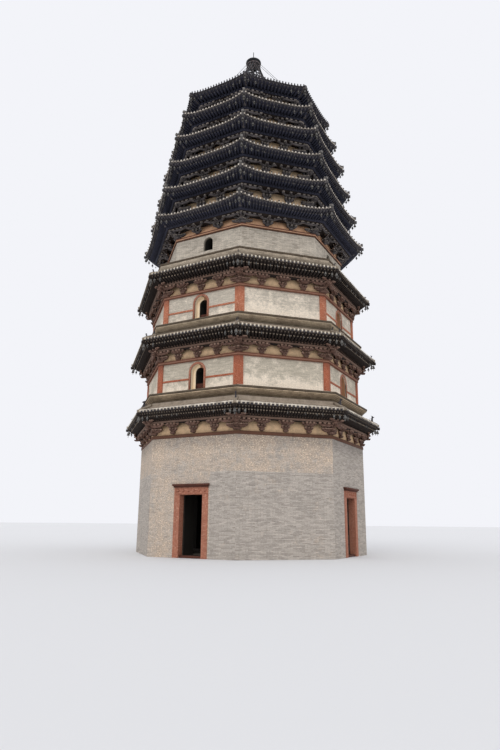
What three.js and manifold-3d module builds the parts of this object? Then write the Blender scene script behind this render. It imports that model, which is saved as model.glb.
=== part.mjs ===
// A nine-storey octagonal pagoda, four storeys of masonry below five low ones of timber.
// All sizes are the tower's own, in millimetres, with +Z up, the ground at z 0 and the axis at the
// origin. The outer group then brings them to the scale of the model.
// A radius is always that of an octagon's corners. The face named front looks along -Y, right is +X.

import * as THREE from 'three';
import { mergeVertices } from 'three/addons/utils/BufferGeometryUtils.js';
import Module from 'manifold-3d';

const wasm = await Module();
wasm.setup();

// Driving dimensions
const MODEL_SCALE = 0.5;
const SIDES = 8;
const GAP = 0.6; // left between turned neighbours, 0.3 in the model
const OVERLAP = 20; // how far one solid reaches into another before they are joined

const ROOM_RADIUS = 5600; // rooms of the three lowest storeys
const HIGH_ROOM_RADIUS = 5300; // room of the fourth storey
const FLOOR_THICKNESS = 250;
const FLOOR_BEARING = 300; // how far a floor lies on the ring that carries it
const GROUND_FLOOR_THICKNESS = 150;

// The masonry storeys: levels from foot to eave, and the radii at each.
const GROUND = {
  name: 'ground', foot: 0, beamFoot: 7150, beamTop: 7360, boardFoot: 8030, boardTop: 8290,
  wall: 8000, beam: 8050, plaster: 7900, board: 8470,
};
const SECOND = {
  name: 'second', foot: 10000, beamFoot: 11990, beamTop: 12190, boardFoot: 12840, boardTop: 13090,
  wall: 7740, pillar: 7820, beam: 7850, plaster: 7700, board: 8300,
};
const THIRD = {
  name: 'third', foot: 14720, beamFoot: 16630, beamTop: 16820, boardFoot: 17510, boardTop: 17690,
  wall: 7540, pillar: 7620, beam: 7650, plaster: 7500, board: 8100,
};
const FOURTH = {
  name: 'fourth', foot: 19150, beamFoot: 21320, beamTop: 21450, boardFoot: 21950, boardTop: 22100,
  wall: 6850, beam: 6900, plaster: 6770, board: 7780,
};

// The straight eaves below brick ledges: tip and edge of the tiles, head of the slope, and ledge.
const FIRST_EAVE = {
  name: 'first', tip: 9120, edgeFoot: 8580, edgeTop: 8740, headRadius: 8250, head: 9220, top: 9500,
};
const SECOND_EAVE = {
  name: 'second', tip: 9050, edgeFoot: 13500, edgeTop: 13660, headRadius: 8150, head: 14060, top: 14200,
};
const THIRD_EAVE = {
  name: 'third', tip: 8800, edgeFoot: 18090, edgeTop: 18250, headRadius: 8150, head: 18500, top: 18600,
};
const FIRST_LEDGE = { name: 'first', foot: 9500, top: 10000, footRadius: 8050, topRadius: 8420 };
const SECOND_LEDGE = { name: 'second', foot: 14200, top: 14720, footRadius: 8000, topRadius: 8200 };
const THIRD_LEDGE = { name: 'third', foot: 18600, top: 19150, footRadius: 8080, topRadius: 8110 };
const LEDGE_SLAB = 80; // the course that closes a ledge

// The curved eaves of storeys four to nine: corner tip and its height.
const CURVED_EAVES = [
  { name: 'fourth', tip: 8530, corner: 22760 },
  { name: 'fifth', tip: 8100, corner: 25080 },
  { name: 'sixth', tip: 7680, corner: 27370 },
  { name: 'seventh', tip: 7280, corner: 29690 },
  { name: 'eighth', tip: 6740, corner: 31930 },
  { name: 'ninth', tip: 6190, corner: 34140 },
];
const HIGH_WALLS = [6450, 6080, 5700, 5300, 4850]; // radii of storeys five to nine
const HIGH_WALL_THICKNESS = 400;
const CORNER_LIFT = 360;
const LIFT_POWER = 4; // how late along a side the lift sets in
const CORNER_THRUST = 80;
const THRUST_POWER = 3;
const CURVE_STEPS = 6; // facets of a curved eave along one side
const SOFFIT_DEPTH = 300; // from the tiles' edge down to the board below the rafters
const SOFFIT_REACH = 750; // from the board out to the tip
const EDGE_HALF = 90; // half the height of the tiles' edge
const ROOF_RISE = 750; // from the tiles' edge to the head of a curved slope
const ROOF_SKIRT = 150; // how far the head of a slope lies outside the wall above

const HIGH_BEAM_FOOT = 250; // above a high storey's foot
const HIGH_BEAM_HEIGHT = 200;
const HIGH_BEAM_PROUD = 120;
const HIGH_BOARD_HEIGHT = 150;

// Doorways and their timber portals
const PORTAL_WIDTH = 2410;
const PORTAL_HEIGHT = 4240;
const PORTAL_DEPTH = 450;
const JAMB_WIDTH = 400;
const LINTEL_HEIGHT = 600;
const PORTAL_PROUD = 30;
const HOOD_HEIGHT = 170;
const HOOD_PROUD = 90;

// Arched openings: half width and crown of the raised rim, recess behind it, and clear opening
const RIM_WIDTH = 125;
const RIM_PROUD = 25;
const RECESS_DEPTH = 330;
const FRAME_WIDTH = 150;
const SILL_HEIGHT = 150;
const ARCH_SEGMENTS = 4; // doubled along a half circle
const SECOND_ARCH = { halfWidth: 615, crown: 11910 };
const THIRD_ARCH = { halfWidth: 600, crown: 16590 };
const FOURTH_WINDOW = { halfWidth: 365, crown: 21000, sill: 20020 };

const PILLAR_HALF = 335; // measured along each face from the corner
const BAND_HEIGHT = 110;
const BAND_THICKNESS = 50;
const SECOND_BAND = 10840;
const THIRD_BAND = 15570;
const BEAM_DEPTH = 550; // from a beam's outer corner to its inner one

// Bracket sets, plain inverted wedges here: half widths and reach beyond the plaster
const LOW_SETS = { count: 3, footHalf: 130, headHalf: 425 }; // along each face
const HIGH_SETS = { count: 2, footHalf: 150, headHalf: 520 };
const SET_FOOT_REACH = 90;
const SET_SETBACK = 90; // from the board's face back to the set's head
const SET_ROOT = 180; // depth of a set's tail in the plaster wall
const CORNER_FOOT = 240;
const CORNER_HEAD = 560;
const CORNER_SETBACK = 240;
const CORNER_ROOT = 720;

// Finial
const FINIAL_FOOT = 37450;
const ROOF_TOP_RADIUS = 1300;
const ROOF_CEILING = 36600; // the hollow under the top roof ends here
const ROOF_BENDS = [[4400, 34850], [2700, 36100]]; // the sag of the top roof's slope
const BASE_PROFILE = [
  [1240, 37450], [1240, 37600], [1120, 37680], [1120, 37790], [1240, 37920], [1240, 38000],
];
const CAGE_FOOT = 38000;
const CAGE_TOP = 40150;
const CAGE_FOOT_RADIUS = 1130;
const CAGE_TOP_RADIUS = 560;
const CAGE_HOOPS = 4;
const CAGE_RIBS = 8;
const CAGE_SEGMENTS = 8;
const CAGE_BAR = 60;
const CAP_RADIUS = 650;
const CAP_RIM = 40440;
const CAP_TOP = 40620;
const DOME_STEPS = 6;
const MAST_RADIUS = 90;
const ROD_RADIUS = 30;
const ROD_TOP = 41550;
const ROUND_SEGMENTS = 16;
const STAY_RADIUS = 14;
const STAY_SIDES = 4;
const STAY_SPREAD = 0.26; // radians from a corner's direction to each head of its pair of stays
const COLLAR_RADIUS = 610;
const COLLAR_HEIGHT = 60;
const NECK_RADIUS = 480;
const ANCHOR_RADIUS = 5350; // where a pair of stays is made fast to the hip of the top roof
const ANCHOR_TOP = 34700;
const ANCHOR_SIZE = 180;
const ANCHOR_DEPTH = 400;

const HALF_TURN = Math.PI / SIDES;
const SIDE_TURN = 2 * HALF_TURN;
const FACES = ['front', 'front_right', 'right', 'back_right', 'back', 'back_left', 'left', 'front_left'];

const COLOURS = {
  wornBrick: [0x9f968b, 0.92, 0],
  limewash: [0xd6cabb, 0.9, 0],
  greyBrick: [0xa9a59e, 0.92, 0],
  ledge: [0x7b7263, 0.93, 0],
  redPaint: [0xa6573f, 0.75, 0],
  lowTimber: [0x6b4b3d, 0.8, 0],
  highTimber: [0x3b3f3c, 0.8, 0],
  tiles: [0x55524e, 0.85, 0],
  floor: [0x6f6a62, 0.9, 0],
  iron: [0x2e2f31, 0.6, 0.6],
};

const apothem = (radius) => radius * Math.cos(HALF_TURN);
const halfSide = (radius) => radius * Math.sin(HALF_TURN);

// Solids and meshes

function toSolid(geometry) {
  const bare = geometry.index ? geometry.toNonIndexed() : geometry.clone();
  for (const name of Object.keys(bare.attributes)) {
    if (name !== 'position') bare.deleteAttribute(name);
  }
  const merged = mergeVertices(bare, 0.01);
  const corners = merged.index.array;
  const kept = [];
  for (let i = 0; i < corners.length; i += 3) {
    const [a, b, c] = [corners[i], corners[i + 1], corners[i + 2]];
    if (a !== b && b !== c && c !== a) kept.push(a, b, c);
  }
  return new wasm.Manifold(new wasm.Mesh({
    numProp: 3,
    vertProperties: new Float32Array(merged.attributes.position.array),
    triVerts: new Uint32Array(kept),
  }));
}

function toGeometry(solid) {
  const mesh = solid.getMesh();
  const geometry = new THREE.BufferGeometry();
  geometry.setAttribute('position', new THREE.BufferAttribute(mesh.vertProperties, 3));
  geometry.setIndex(new THREE.BufferAttribute(mesh.triVerts, 1));
  geometry.computeVertexNormals();
  return geometry;
}

const join = (first, others) => others.reduce((whole, solid) => whole.add(solid), first);
const cut = (first, others) => others.reduce((whole, solid) => whole.subtract(solid), first);

const tower = new THREE.Group();
tower.scale.setScalar(MODEL_SCALE);

function addPiece(name, solid, [colour, roughness, metalness]) {
  const material = new THREE.MeshStandardMaterial({ color: colour, roughness, metalness });
  const mesh = new THREE.Mesh(toGeometry(solid), material);
  mesh.name = name;
  tower.add(mesh);
}

// Shapes

// An octagonal or round ring about the axis. The profile is a closed list of [radius, height],
// anticlockwise with the axis on its left.
function ring(profile, segments = SIDES) {
  const points = [...profile, profile[0]].map(([r, z]) => new THREE.Vector2(r, z));
  return new THREE.LatheGeometry(points, segments, HALF_TURN, 2 * Math.PI).rotateX(Math.PI / 2);
}

// A solid of revolution whose profile starts and ends on the axis.
function turned(profile, segments) {
  const points = profile.map(([r, z]) => new THREE.Vector2(r, z));
  return new THREE.LatheGeometry(points, segments, HALF_TURN, 2 * Math.PI).rotateX(Math.PI / 2);
}

function box(width, depth, height, x, y, z) {
  return new THREE.BoxGeometry(width, depth, height).translate(x, y, z);
}

// Turns a geometry made on the front face to the face with this number, anticlockwise from above.
const onFace = (geometry, face) => geometry.rotateZ(face * SIDE_TURN);

// An upright plate standing along X, drawn in its own plane as [x, z], from depth y0 back to y1.
function plate(shape, y0, y1) {
  const geometry = new THREE.ExtrudeGeometry(shape, {
    depth: y1 - y0, bevelEnabled: false, curveSegments: ARCH_SEGMENTS,
  });
  return geometry.rotateX(Math.PI / 2).translate(0, y1, 0);
}

function archShape(halfWidth, foot, crown) {
  const shape = new THREE.Shape();
  shape.moveTo(-halfWidth, foot);
  shape.lineTo(halfWidth, foot);
  shape.lineTo(halfWidth, crown - halfWidth);
  shape.absarc(0, crown - halfWidth, halfWidth, 0, Math.PI, false);
  shape.lineTo(-halfWidth, foot);
  return shape;
}

// A bracket set as a wedge that widens and reaches out towards its head, on the front face.
function wedge({ footHalf, headHalf, back, footFront, headFront, foot, head }) {
  const geometry = new THREE.BoxGeometry(1, 1, 1);
  const place = geometry.attributes.position;
  for (let i = 0; i < place.count; i += 1) {
    const atHead = place.getZ(i) > 0;
    const half = atHead ? headHalf : footHalf;
    const front = atHead ? headFront : footFront;
    place.setXYZ(i, Math.sign(place.getX(i)) * half, place.getY(i) > 0 ? -back : -front,
      atHead ? head : foot);
  }
  return geometry;
}

// Bracket sets along all eight faces and at the corners of a storey.
function bracketSets(storey, { count, footHalf, headHalf }) {
  const wallFace = apothem(storey.plaster);
  const set = {
    footHalf, headHalf, back: wallFace - SET_ROOT,
    footFront: wallFace + SET_FOOT_REACH, headFront: apothem(storey.board) - SET_SETBACK,
    foot: storey.beamTop, head: storey.boardFoot,
  };
  const cornerSet = {
    ...set, footHalf: CORNER_FOOT, headHalf: CORNER_HEAD, back: storey.plaster - CORNER_ROOT,
    footFront: storey.plaster + SET_FOOT_REACH, headFront: storey.board - CORNER_SETBACK,
  };
  const spacing = 2 * halfSide(storey.plaster) / (count + 1);
  const solids = [];
  for (let face = 0; face < SIDES; face += 1) {
    for (let i = 0; i < count; i += 1) {
      const along = (i + 1) * spacing - halfSide(storey.plaster);
      solids.push(toSolid(onFace(wedge(set).translate(along, 0, 0), face)));
    }
    solids.push(toSolid(onFace(wedge(cornerSet), face + 0.5)));
  }
  return solids;
}

// Pieces of a masonry storey

function groundWall(face) {
  const trim = GAP / 2 / Math.cos(HALF_TURN);
  const outer = apothem(GROUND.wall);
  const inner = apothem(ROOM_RADIUS);
  const plan = new THREE.Shape([
    new THREE.Vector2(-halfSide(GROUND.wall) + trim, -outer),
    new THREE.Vector2(halfSide(GROUND.wall) - trim, -outer),
    new THREE.Vector2(halfSide(ROOM_RADIUS) - trim, -inner),
    new THREE.Vector2(-halfSide(ROOM_RADIUS) + trim, -inner),
  ]);
  const wall = toSolid(onFace(new THREE.ExtrudeGeometry(plan, {
    depth: GROUND.beamFoot, bevelEnabled: false,
  }), face));
  const hasDoorway = face % 2 === 0;
  const doorway = box(PORTAL_WIDTH + 2 * GAP, outer, 2 * (PORTAL_HEIGHT + GAP), 0, -outer, 0);
  const solid = hasDoorway ? wall.subtract(toSolid(onFace(doorway, face))) : wall;
  addPiece(`ground_wall_${FACES[face]}`, solid, COLOURS.wornBrick);
}

function portal(face) {
  const half = PORTAL_WIDTH / 2;
  const clearHalf = half - JAMB_WIDTH;
  const clearTop = PORTAL_HEIGHT - LINTEL_HEIGHT;
  const shape = new THREE.Shape([
    [-half, 0], [-clearHalf, 0], [-clearHalf, clearTop], [clearHalf, clearTop], [clearHalf, 0],
    [half, 0], [half, PORTAL_HEIGHT], [-half, PORTAL_HEIGHT],
  ].map(([x, z]) => new THREE.Vector2(x, z)));
  const front = -apothem(GROUND.wall) - PORTAL_PROUD;
  const frame = toSolid(onFace(plate(shape, front, front + PORTAL_DEPTH), face));
  const hoodDepth = HOOD_PROUD + OVERLAP - PORTAL_PROUD;
  const hood = box(PORTAL_WIDTH, hoodDepth, HOOD_HEIGHT,
    0, front + OVERLAP - hoodDepth / 2, PORTAL_HEIGHT - HOOD_HEIGHT / 2);
  addPiece(`portal_${FACES[face]}`, join(frame, [toSolid(onFace(hood, face))]), COLOURS.redPaint);
}

// The beam, the plaster between the bracket sets, the sets and the board above them.
function brackets(storey, roomRadius, sets, colour) {
  const body = toSolid(ring([
    [roomRadius, storey.beamFoot], [storey.beam, storey.beamFoot], [storey.beam, storey.beamTop],
    [storey.plaster, storey.beamTop], [storey.plaster, storey.boardFoot],
    [storey.board, storey.boardFoot], [storey.board, storey.boardTop], [roomRadius, storey.boardTop],
  ]));
  addPiece(`${storey.name}_brackets`, join(body, bracketSets(storey, sets)), colour);
}

// The same zone where the beam belongs to the frame of pillars below.
function bracketsOverFrame(storey) {
  const body = toSolid(ring([
    [ROOM_RADIUS, storey.beamTop], [storey.plaster, storey.beamTop], [storey.plaster, storey.boardFoot],
    [storey.board, storey.boardFoot], [storey.board, storey.boardTop], [ROOM_RADIUS, storey.boardTop],
  ]));
  addPiece(`${storey.name}_brackets`, join(body, bracketSets(storey, LOW_SETS)), COLOURS.lowTimber);
}

function straightEave(eave, storey) {
  addPiece(`${eave.name}_eave`, toSolid(ring([
    [ROOM_RADIUS, storey.boardTop], [storey.board, storey.boardTop], [eave.tip, eave.edgeFoot],
    [eave.tip, eave.edgeTop], [eave.headRadius, eave.head], [eave.headRadius, eave.top],
    [ROOM_RADIUS, eave.top],
  ])), COLOURS.tiles);
}

function ledge({ name, foot, top, footRadius, topRadius }) {
  const shelf = ROOM_RADIUS + FLOOR_BEARING;
  addPiece(`${name}_ledge`, toSolid(ring([
    [ROOM_RADIUS, foot], [footRadius, foot], [topRadius - LEDGE_SLAB / 2, top - LEDGE_SLAB],
    [topRadius, top - LEDGE_SLAB], [topRadius, top], [shelf, top], [shelf, top - FLOOR_THICKNESS],
    [ROOM_RADIUS, top - FLOOR_THICKNESS],
  ])), COLOURS.ledge);
}

function floor(name, top, thickness, radius) {
  const slab = new THREE.CylinderGeometry(radius, radius, thickness, SIDES, 1, false, HALF_TURN);
  const solid = toSolid(slab.rotateX(Math.PI / 2).translate(0, 0, top - thickness / 2));
  addPiece(name, solid, COLOURS.floor);
}

// Walls whose four door faces are pierced by arches with a raised rim and a stepped reveal.
function archedWall(storey, arch) {
  const shoulder = storey.beam - BEAM_DEPTH - GAP;
  const body = toSolid(ring([
    [ROOM_RADIUS, storey.foot], [storey.wall, storey.foot], [storey.wall, storey.beamFoot],
    [shoulder, storey.beamFoot], [shoulder, storey.beamTop], [ROOM_RADIUS, storey.beamTop],
  ]));
  const face = -apothem(storey.wall);
  const sill = storey.foot + SILL_HEIGHT;
  const recess = arch.halfWidth - RIM_WIDTH;
  const recessCrown = arch.crown - RIM_WIDTH;
  const rim = archShape(arch.halfWidth, storey.foot, arch.crown);
  const outer = archShape(recess, sill, recessCrown);
  const inner = archShape(recess - FRAME_WIDTH, sill, recessCrown - FRAME_WIDTH);
  const rims = [];
  const openings = [];
  for (let i = 0; i < SIDES; i += 2) {
    rims.push(toSolid(onFace(plate(rim, face - RIM_PROUD, face + OVERLAP), i)));
    openings.push(toSolid(onFace(plate(outer, face - 2 * RIM_PROUD, face + RECESS_DEPTH), i)));
    openings.push(toSolid(onFace(plate(inner, face, -apothem(ROOM_RADIUS) + OVERLAP), i)));
  }
  addPiece(`${storey.name}_wall`, cut(join(body, rims), openings), COLOURS.limewash);
}

// Eight corner pillars, the beam that ties their heads, and the bands beside the arches.
function pillarFrame(storey, arch, bandHeight) {
  const beam = toSolid(ring([
    [storey.beam - BEAM_DEPTH, storey.beamFoot], [storey.beam, storey.beamFoot],
    [storey.beam, storey.beamTop], [storey.beam - BEAM_DEPTH, storey.beamTop],
  ]));
  const thickness = apothem(storey.pillar) - apothem(storey.wall) - GAP;
  const cos = Math.cos(HALF_TURN);
  const sin = Math.sin(HALF_TURN);
  const outerEdge = [PILLAR_HALF * cos, -storey.pillar + PILLAR_HALF * sin];
  const innerEdge = [outerEdge[0] - thickness * sin, outerEdge[1] + thickness * cos];
  const plan = new THREE.Shape([
    [0, -storey.pillar], outerEdge, innerEdge, [0, -storey.pillar + thickness / cos],
    [-innerEdge[0], innerEdge[1]], [-outerEdge[0], outerEdge[1]],
  ].map(([x, y]) => new THREE.Vector2(x, y)));
  const height = storey.beamFoot - storey.foot + OVERLAP;
  const wallFace = apothem(storey.wall) + GAP;
  const bandStart = arch.halfWidth + GAP;
  const bandEnd = halfSide(storey.pillar) - PILLAR_HALF + OVERLAP;
  const pieces = [];
  for (let face = 0; face < SIDES; face += 1) {
    const pillar = new THREE.ExtrudeGeometry(plan, { depth: height, bevelEnabled: false });
    pieces.push(toSolid(onFace(pillar.translate(0, 0, storey.foot), face + 0.5)));
  }
  for (let face = 0; face < SIDES; face += 2) {
    for (const side of [-1, 1]) {
      const band = box(bandEnd - bandStart, BAND_THICKNESS, BAND_HEIGHT,
        side * (bandStart + bandEnd) / 2, -wallFace - BAND_THICKNESS / 2, bandHeight);
      pieces.push(toSolid(onFace(band, face)));
    }
  }
  addPiece(`${storey.name}_pillar_frame`, join(beam, pieces), COLOURS.redPaint);
}

function fourthWall() {
  const body = toSolid(ring([
    [HIGH_ROOM_RADIUS, FOURTH.foot], [FOURTH.wall, FOURTH.foot],
    [FOURTH.wall, FOURTH.beamFoot], [HIGH_ROOM_RADIUS, FOURTH.beamFoot],
  ]));
  const { halfWidth, sill, crown } = FOURTH_WINDOW;
  const shape = archShape(halfWidth, sill, crown);
  const windows = [];
  for (let face = 0; face < SIDES; face += 2) {
    const back = -apothem(HIGH_ROOM_RADIUS) + OVERLAP;
    windows.push(toSolid(onFace(plate(shape, -apothem(FOURTH.wall) - OVERLAP, back), face)));
  }
  addPiece('fourth_wall', cut(body, windows), COLOURS.greyBrick);
}

// Pieces of the curved eaves and the storeys between them

// Bends an eave's outer part: its edge stays straight near the middle of a side and rises and
// reaches out towards the corners. The bend grows from nothing at radius start to all at the tip.
function curveCorners(geometry, start, tip) {
  const place = geometry.attributes.position;
  for (let i = 0; i < place.count; i += 1) {
    const [x, y, z] = [place.getX(i), place.getY(i), place.getZ(i)];
    const radius = Math.hypot(x, y);
    const angle = Math.atan2(x, -y);
    const local = angle - Math.round(angle / SIDE_TURN) * SIDE_TURN;
    const along = Math.tan(Math.abs(local)) / Math.tan(HALF_TURN);
    const share = Math.max(0, (radius - start) / (tip - start));
    const straight = (radius - CORNER_THRUST * share) * Math.cos(HALF_TURN) / Math.cos(local);
    const bent = straight + CORNER_THRUST * share * along ** THRUST_POWER;
    place.setXYZ(i, bent * Math.sin(angle), -bent * Math.cos(angle),
      z + CORNER_LIFT * share * along ** LIFT_POWER);
  }
  return geometry;
}

function curvedEave(eave, index) {
  const edge = eave.corner - CORNER_LIFT;
  const foot = edge - SOFFIT_DEPTH;
  const wallAbove = HIGH_WALLS[index];
  const start = eave.tip - SOFFIT_REACH;
  const headRadius = wallAbove + ROOF_SKIRT;
  const innerRadius = wallAbove - HIGH_WALL_THICKNESS;
  const profile = [
    [innerRadius, foot], [start, foot], [eave.tip, edge - EDGE_HALF], [eave.tip, edge + EDGE_HALF],
    [headRadius, edge + ROOF_RISE], [innerRadius, edge + ROOF_RISE],
  ];
  const geometry = curveCorners(ring(profile, SIDES * CURVE_STEPS), start, eave.tip);
  addPiece(`${eave.name}_eave`, toSolid(geometry), COLOURS.tiles);
}

function highStorey(eaveBelow, eave, index) {
  const foot = eaveBelow.corner - CORNER_LIFT + ROOF_RISE;
  const top = eave.corner - CORNER_LIFT - SOFFIT_DEPTH;
  const wall = HIGH_WALLS[index];
  const beamFoot = foot + HIGH_BEAM_FOOT;
  const storey = {
    beamTop: beamFoot + HIGH_BEAM_HEIGHT, boardFoot: top - HIGH_BOARD_HEIGHT,
    plaster: wall, board: eave.tip - SOFFIT_REACH,
  };
  const body = toSolid(ring([
    [wall - HIGH_WALL_THICKNESS, foot], [wall, foot], [wall, beamFoot], [wall + HIGH_BEAM_PROUD, beamFoot],
    [wall + HIGH_BEAM_PROUD, storey.beamTop], [wall, storey.beamTop], [wall, storey.boardFoot],
    [storey.board, storey.boardFoot], [storey.board, top], [wall - HIGH_WALL_THICKNESS, top],
  ]));
  addPiece(`${eave.name}_storey`, join(body, bracketSets(storey, HIGH_SETS)), COLOURS.highTimber);
}

// The ninth eave runs on into the pointed roof, hollow below, with posts that hold the stays.
function topRoof(eave) {
  const edge = eave.corner - CORNER_LIFT;
  const foot = edge - SOFFIT_DEPTH;
  const start = eave.tip - SOFFIT_REACH;
  const innerRadius = HIGH_WALLS[HIGH_WALLS.length - 1] - HIGH_WALL_THICKNESS;
  const profile = [
    [0, ROOF_CEILING], [innerRadius, foot], [start, foot], [eave.tip, edge - EDGE_HALF],
    [eave.tip, edge + EDGE_HALF], ...ROOF_BENDS, [ROOF_TOP_RADIUS, FINIAL_FOOT], [0, FINIAL_FOOT],
  ];
  const roof = toSolid(curveCorners(turned(profile, SIDES * CURVE_STEPS), start, eave.tip));
  const posts = [];
  for (let face = 0; face < SIDES; face += 2) {
    const post = box(ANCHOR_SIZE, ANCHOR_SIZE, ANCHOR_DEPTH,
      0, -ANCHOR_RADIUS, ANCHOR_TOP - ANCHOR_DEPTH / 2);
    posts.push(toSolid(onFace(post, face + 0.5)));
  }
  addPiece('ninth_eave_and_roof', join(roof, posts), COLOURS.tiles);
}

// The finial

function finialBase() {
  const profile = [[0, FINIAL_FOOT], ...BASE_PROFILE, [0, CAGE_FOOT]];
  addPiece('finial_base', toSolid(turned(profile, ROUND_SEGMENTS)), COLOURS.wornBrick);
}

// An open cage of flat hoops and leaning ribs, fused where they cross.
function finialCage() {
  const hoops = [];
  for (let i = 0; i < CAGE_HOOPS; i += 1) {
    const share = i / (CAGE_HOOPS - 1);
    const radius = CAGE_FOOT_RADIUS + (CAGE_TOP_RADIUS - CAGE_FOOT_RADIUS) * share;
    const foot = CAGE_FOOT + (CAGE_TOP - CAGE_BAR - CAGE_FOOT) * share;
    hoops.push(toSolid(ring([
      [radius - 2 * CAGE_BAR, foot], [radius, foot], [radius, foot + CAGE_BAR],
      [radius - 2 * CAGE_BAR, foot + CAGE_BAR],
    ], CAGE_SEGMENTS)));
  }
  const ribs = [];
  for (let i = 0; i < CAGE_RIBS; i += 1) {
    const rib = new THREE.BoxGeometry(CAGE_BAR, CAGE_BAR, CAGE_TOP - CAGE_FOOT);
    const place = rib.attributes.position;
    for (let j = 0; j < place.count; j += 1) {
      const atHead = place.getZ(j) > 0;
      const radius = (atHead ? CAGE_TOP_RADIUS : CAGE_FOOT_RADIUS) - CAGE_BAR;
      place.setXYZ(j, place.getX(j), place.getY(j) - radius, atHead ? CAGE_TOP : CAGE_FOOT);
    }
    ribs.push(toSolid(rib.rotateZ(HALF_TURN + 2 * Math.PI * i / CAGE_RIBS)));
  }
  addPiece('finial_cage', join(hoops[0], [...ribs, ...hoops.slice(1)]), COLOURS.iron);
}

function finialCap() {
  const dome = [];
  for (let i = 0; i < DOME_STEPS; i += 1) {
    const angle = Math.PI / 2 * i / DOME_STEPS;
    dome.push([CAP_RADIUS * Math.cos(angle), CAP_RIM + (CAP_TOP - CAP_RIM) * Math.sin(angle)]);
  }
  addPiece('finial_cap', toSolid(turned([
    [0, CAGE_TOP], [COLLAR_RADIUS, CAGE_TOP], [COLLAR_RADIUS, CAGE_TOP + COLLAR_HEIGHT],
    [NECK_RADIUS, CAGE_TOP + COLLAR_HEIGHT], [NECK_RADIUS, CAGE_TOP + 2 * COLLAR_HEIGHT],
    [CAP_RADIUS, CAP_RIM - COLLAR_HEIGHT], ...dome, [2 * ROD_RADIUS, CAP_TOP], [0, CAP_TOP],
  ], ROUND_SEGMENTS)), COLOURS.iron);
}

function upright(name, radius, foot, top) {
  const geometry = new THREE.CylinderGeometry(radius, radius, top - foot, SIDES);
  addPiece(name, toSolid(geometry.rotateX(Math.PI / 2).translate(0, 0, (foot + top) / 2)), COLOURS.iron);
}

function bar(from, to, radius) {
  const along = to.clone().sub(from);
  const geometry = new THREE.CylinderGeometry(radius, radius, along.length(), STAY_SIDES);
  const turn = new THREE.Quaternion().setFromUnitVectors(
    new THREE.Vector3(0, 1, 0), along.clone().normalize());
  const middle = from.clone().add(to).multiplyScalar(0.5);
  return toSolid(geometry.applyQuaternion(turn).translate(middle.x, middle.y, middle.z));
}

// Four pairs of taut stays from the collar below the cap down to the posts on the hips of the top
// roof. Each is a straight bar whose ends are cut to the collar and to the post.
function stays() {
  const collar = toSolid(turned([
    [0, CAGE_TOP], [COLLAR_RADIUS + GAP, CAGE_TOP], [COLLAR_RADIUS + GAP, CAP_RIM], [0, CAP_RIM],
  ], ROUND_SEGMENTS));
  const up = new THREE.Vector3(0, 0, 1);
  for (let face = 0; face < SIDES; face += 2) {
    const turn = (face + 0.5) * SIDE_TURN;
    const post = toSolid(onFace(box(ANCHOR_SIZE, ANCHOR_SIZE, ANCHOR_DEPTH,
      0, -ANCHOR_RADIUS, ANCHOR_TOP + GAP - ANCHOR_DEPTH / 2), face + 0.5));
    for (const side of [-1, 1]) {
      const head = new THREE.Vector3(0, -COLLAR_RADIUS + OVERLAP, CAGE_TOP + COLLAR_HEIGHT)
        .applyAxisAngle(up, turn + side * STAY_SPREAD);
      const foot = new THREE.Vector3(side * ANCHOR_SIZE / 4, -ANCHOR_RADIUS, ANCHOR_TOP - OVERLAP)
        .applyAxisAngle(up, turn);
      const name = `stay_${FACES[face]}_${side < 0 ? 1 : 2}`;
      addPiece(name, cut(bar(head, foot, STAY_RADIUS), [collar, post]), COLOURS.iron);
    }
  }
}

// Build order, from the ground up

for (let face = 0; face < SIDES; face += 1) groundWall(face);
for (let face = 0; face < SIDES; face += 2) portal(face);
floor('ground_floor', GROUND_FLOOR_THICKNESS, GROUND_FLOOR_THICKNESS, ROOM_RADIUS - 2 * GAP);
brackets(GROUND, ROOM_RADIUS, LOW_SETS, COLOURS.lowTimber);
straightEave(FIRST_EAVE, GROUND);
ledge(FIRST_LEDGE);

const FRAMED_STOREYS = [
  [SECOND, SECOND_ARCH, SECOND_BAND, SECOND_EAVE, SECOND_LEDGE],
  [THIRD, THIRD_ARCH, THIRD_BAND, THIRD_EAVE, THIRD_LEDGE],
];
for (const [storey, arch, band, eave, ledgeAbove] of FRAMED_STOREYS) {
  floor(`${storey.name}_floor`, storey.foot, FLOOR_THICKNESS, ROOM_RADIUS + FLOOR_BEARING - 2 * GAP);
  archedWall(storey, arch);
  pillarFrame(storey, arch, band);
  bracketsOverFrame(storey);
  straightEave(eave, storey);
  ledge(ledgeAbove);
}

floor('fourth_floor', FOURTH.foot, FLOOR_THICKNESS, ROOM_RADIUS + FLOOR_BEARING - 2 * GAP);
fourthWall();
brackets(FOURTH, HIGH_ROOM_RADIUS, HIGH_SETS, COLOURS.highTimber);

for (let i = 0; i < HIGH_WALLS.length; i += 1) {
  curvedEave(CURVED_EAVES[i], i);
  highStorey(CURVED_EAVES[i], CURVED_EAVES[i + 1], i);
}
topRoof(CURVED_EAVES[CURVED_EAVES.length - 1]);

finialBase();
finialCage();
upright('finial_mast', MAST_RADIUS, CAGE_FOOT, CAGE_TOP);
finialCap();
stays();
upright('finial_rod', ROD_RADIUS, CAP_TOP, ROD_TOP);

export default tower;
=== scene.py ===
# %% [markdown]
# # A brick and timber pagoda
# The real tower is taken to be about 41 metres high. It has eight sides and nine storeys: four of
# masonry, and above them five low ones of timber, each under its own tiled eave. The CAD part is a
# model at half that size. This lesson keeps its walls and replaces its plain brackets, eaves and
# ledges by finer pieces that are worked out with numpy.

from math import cos, pi, radians, sin, tan
from types import SimpleNamespace

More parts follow.
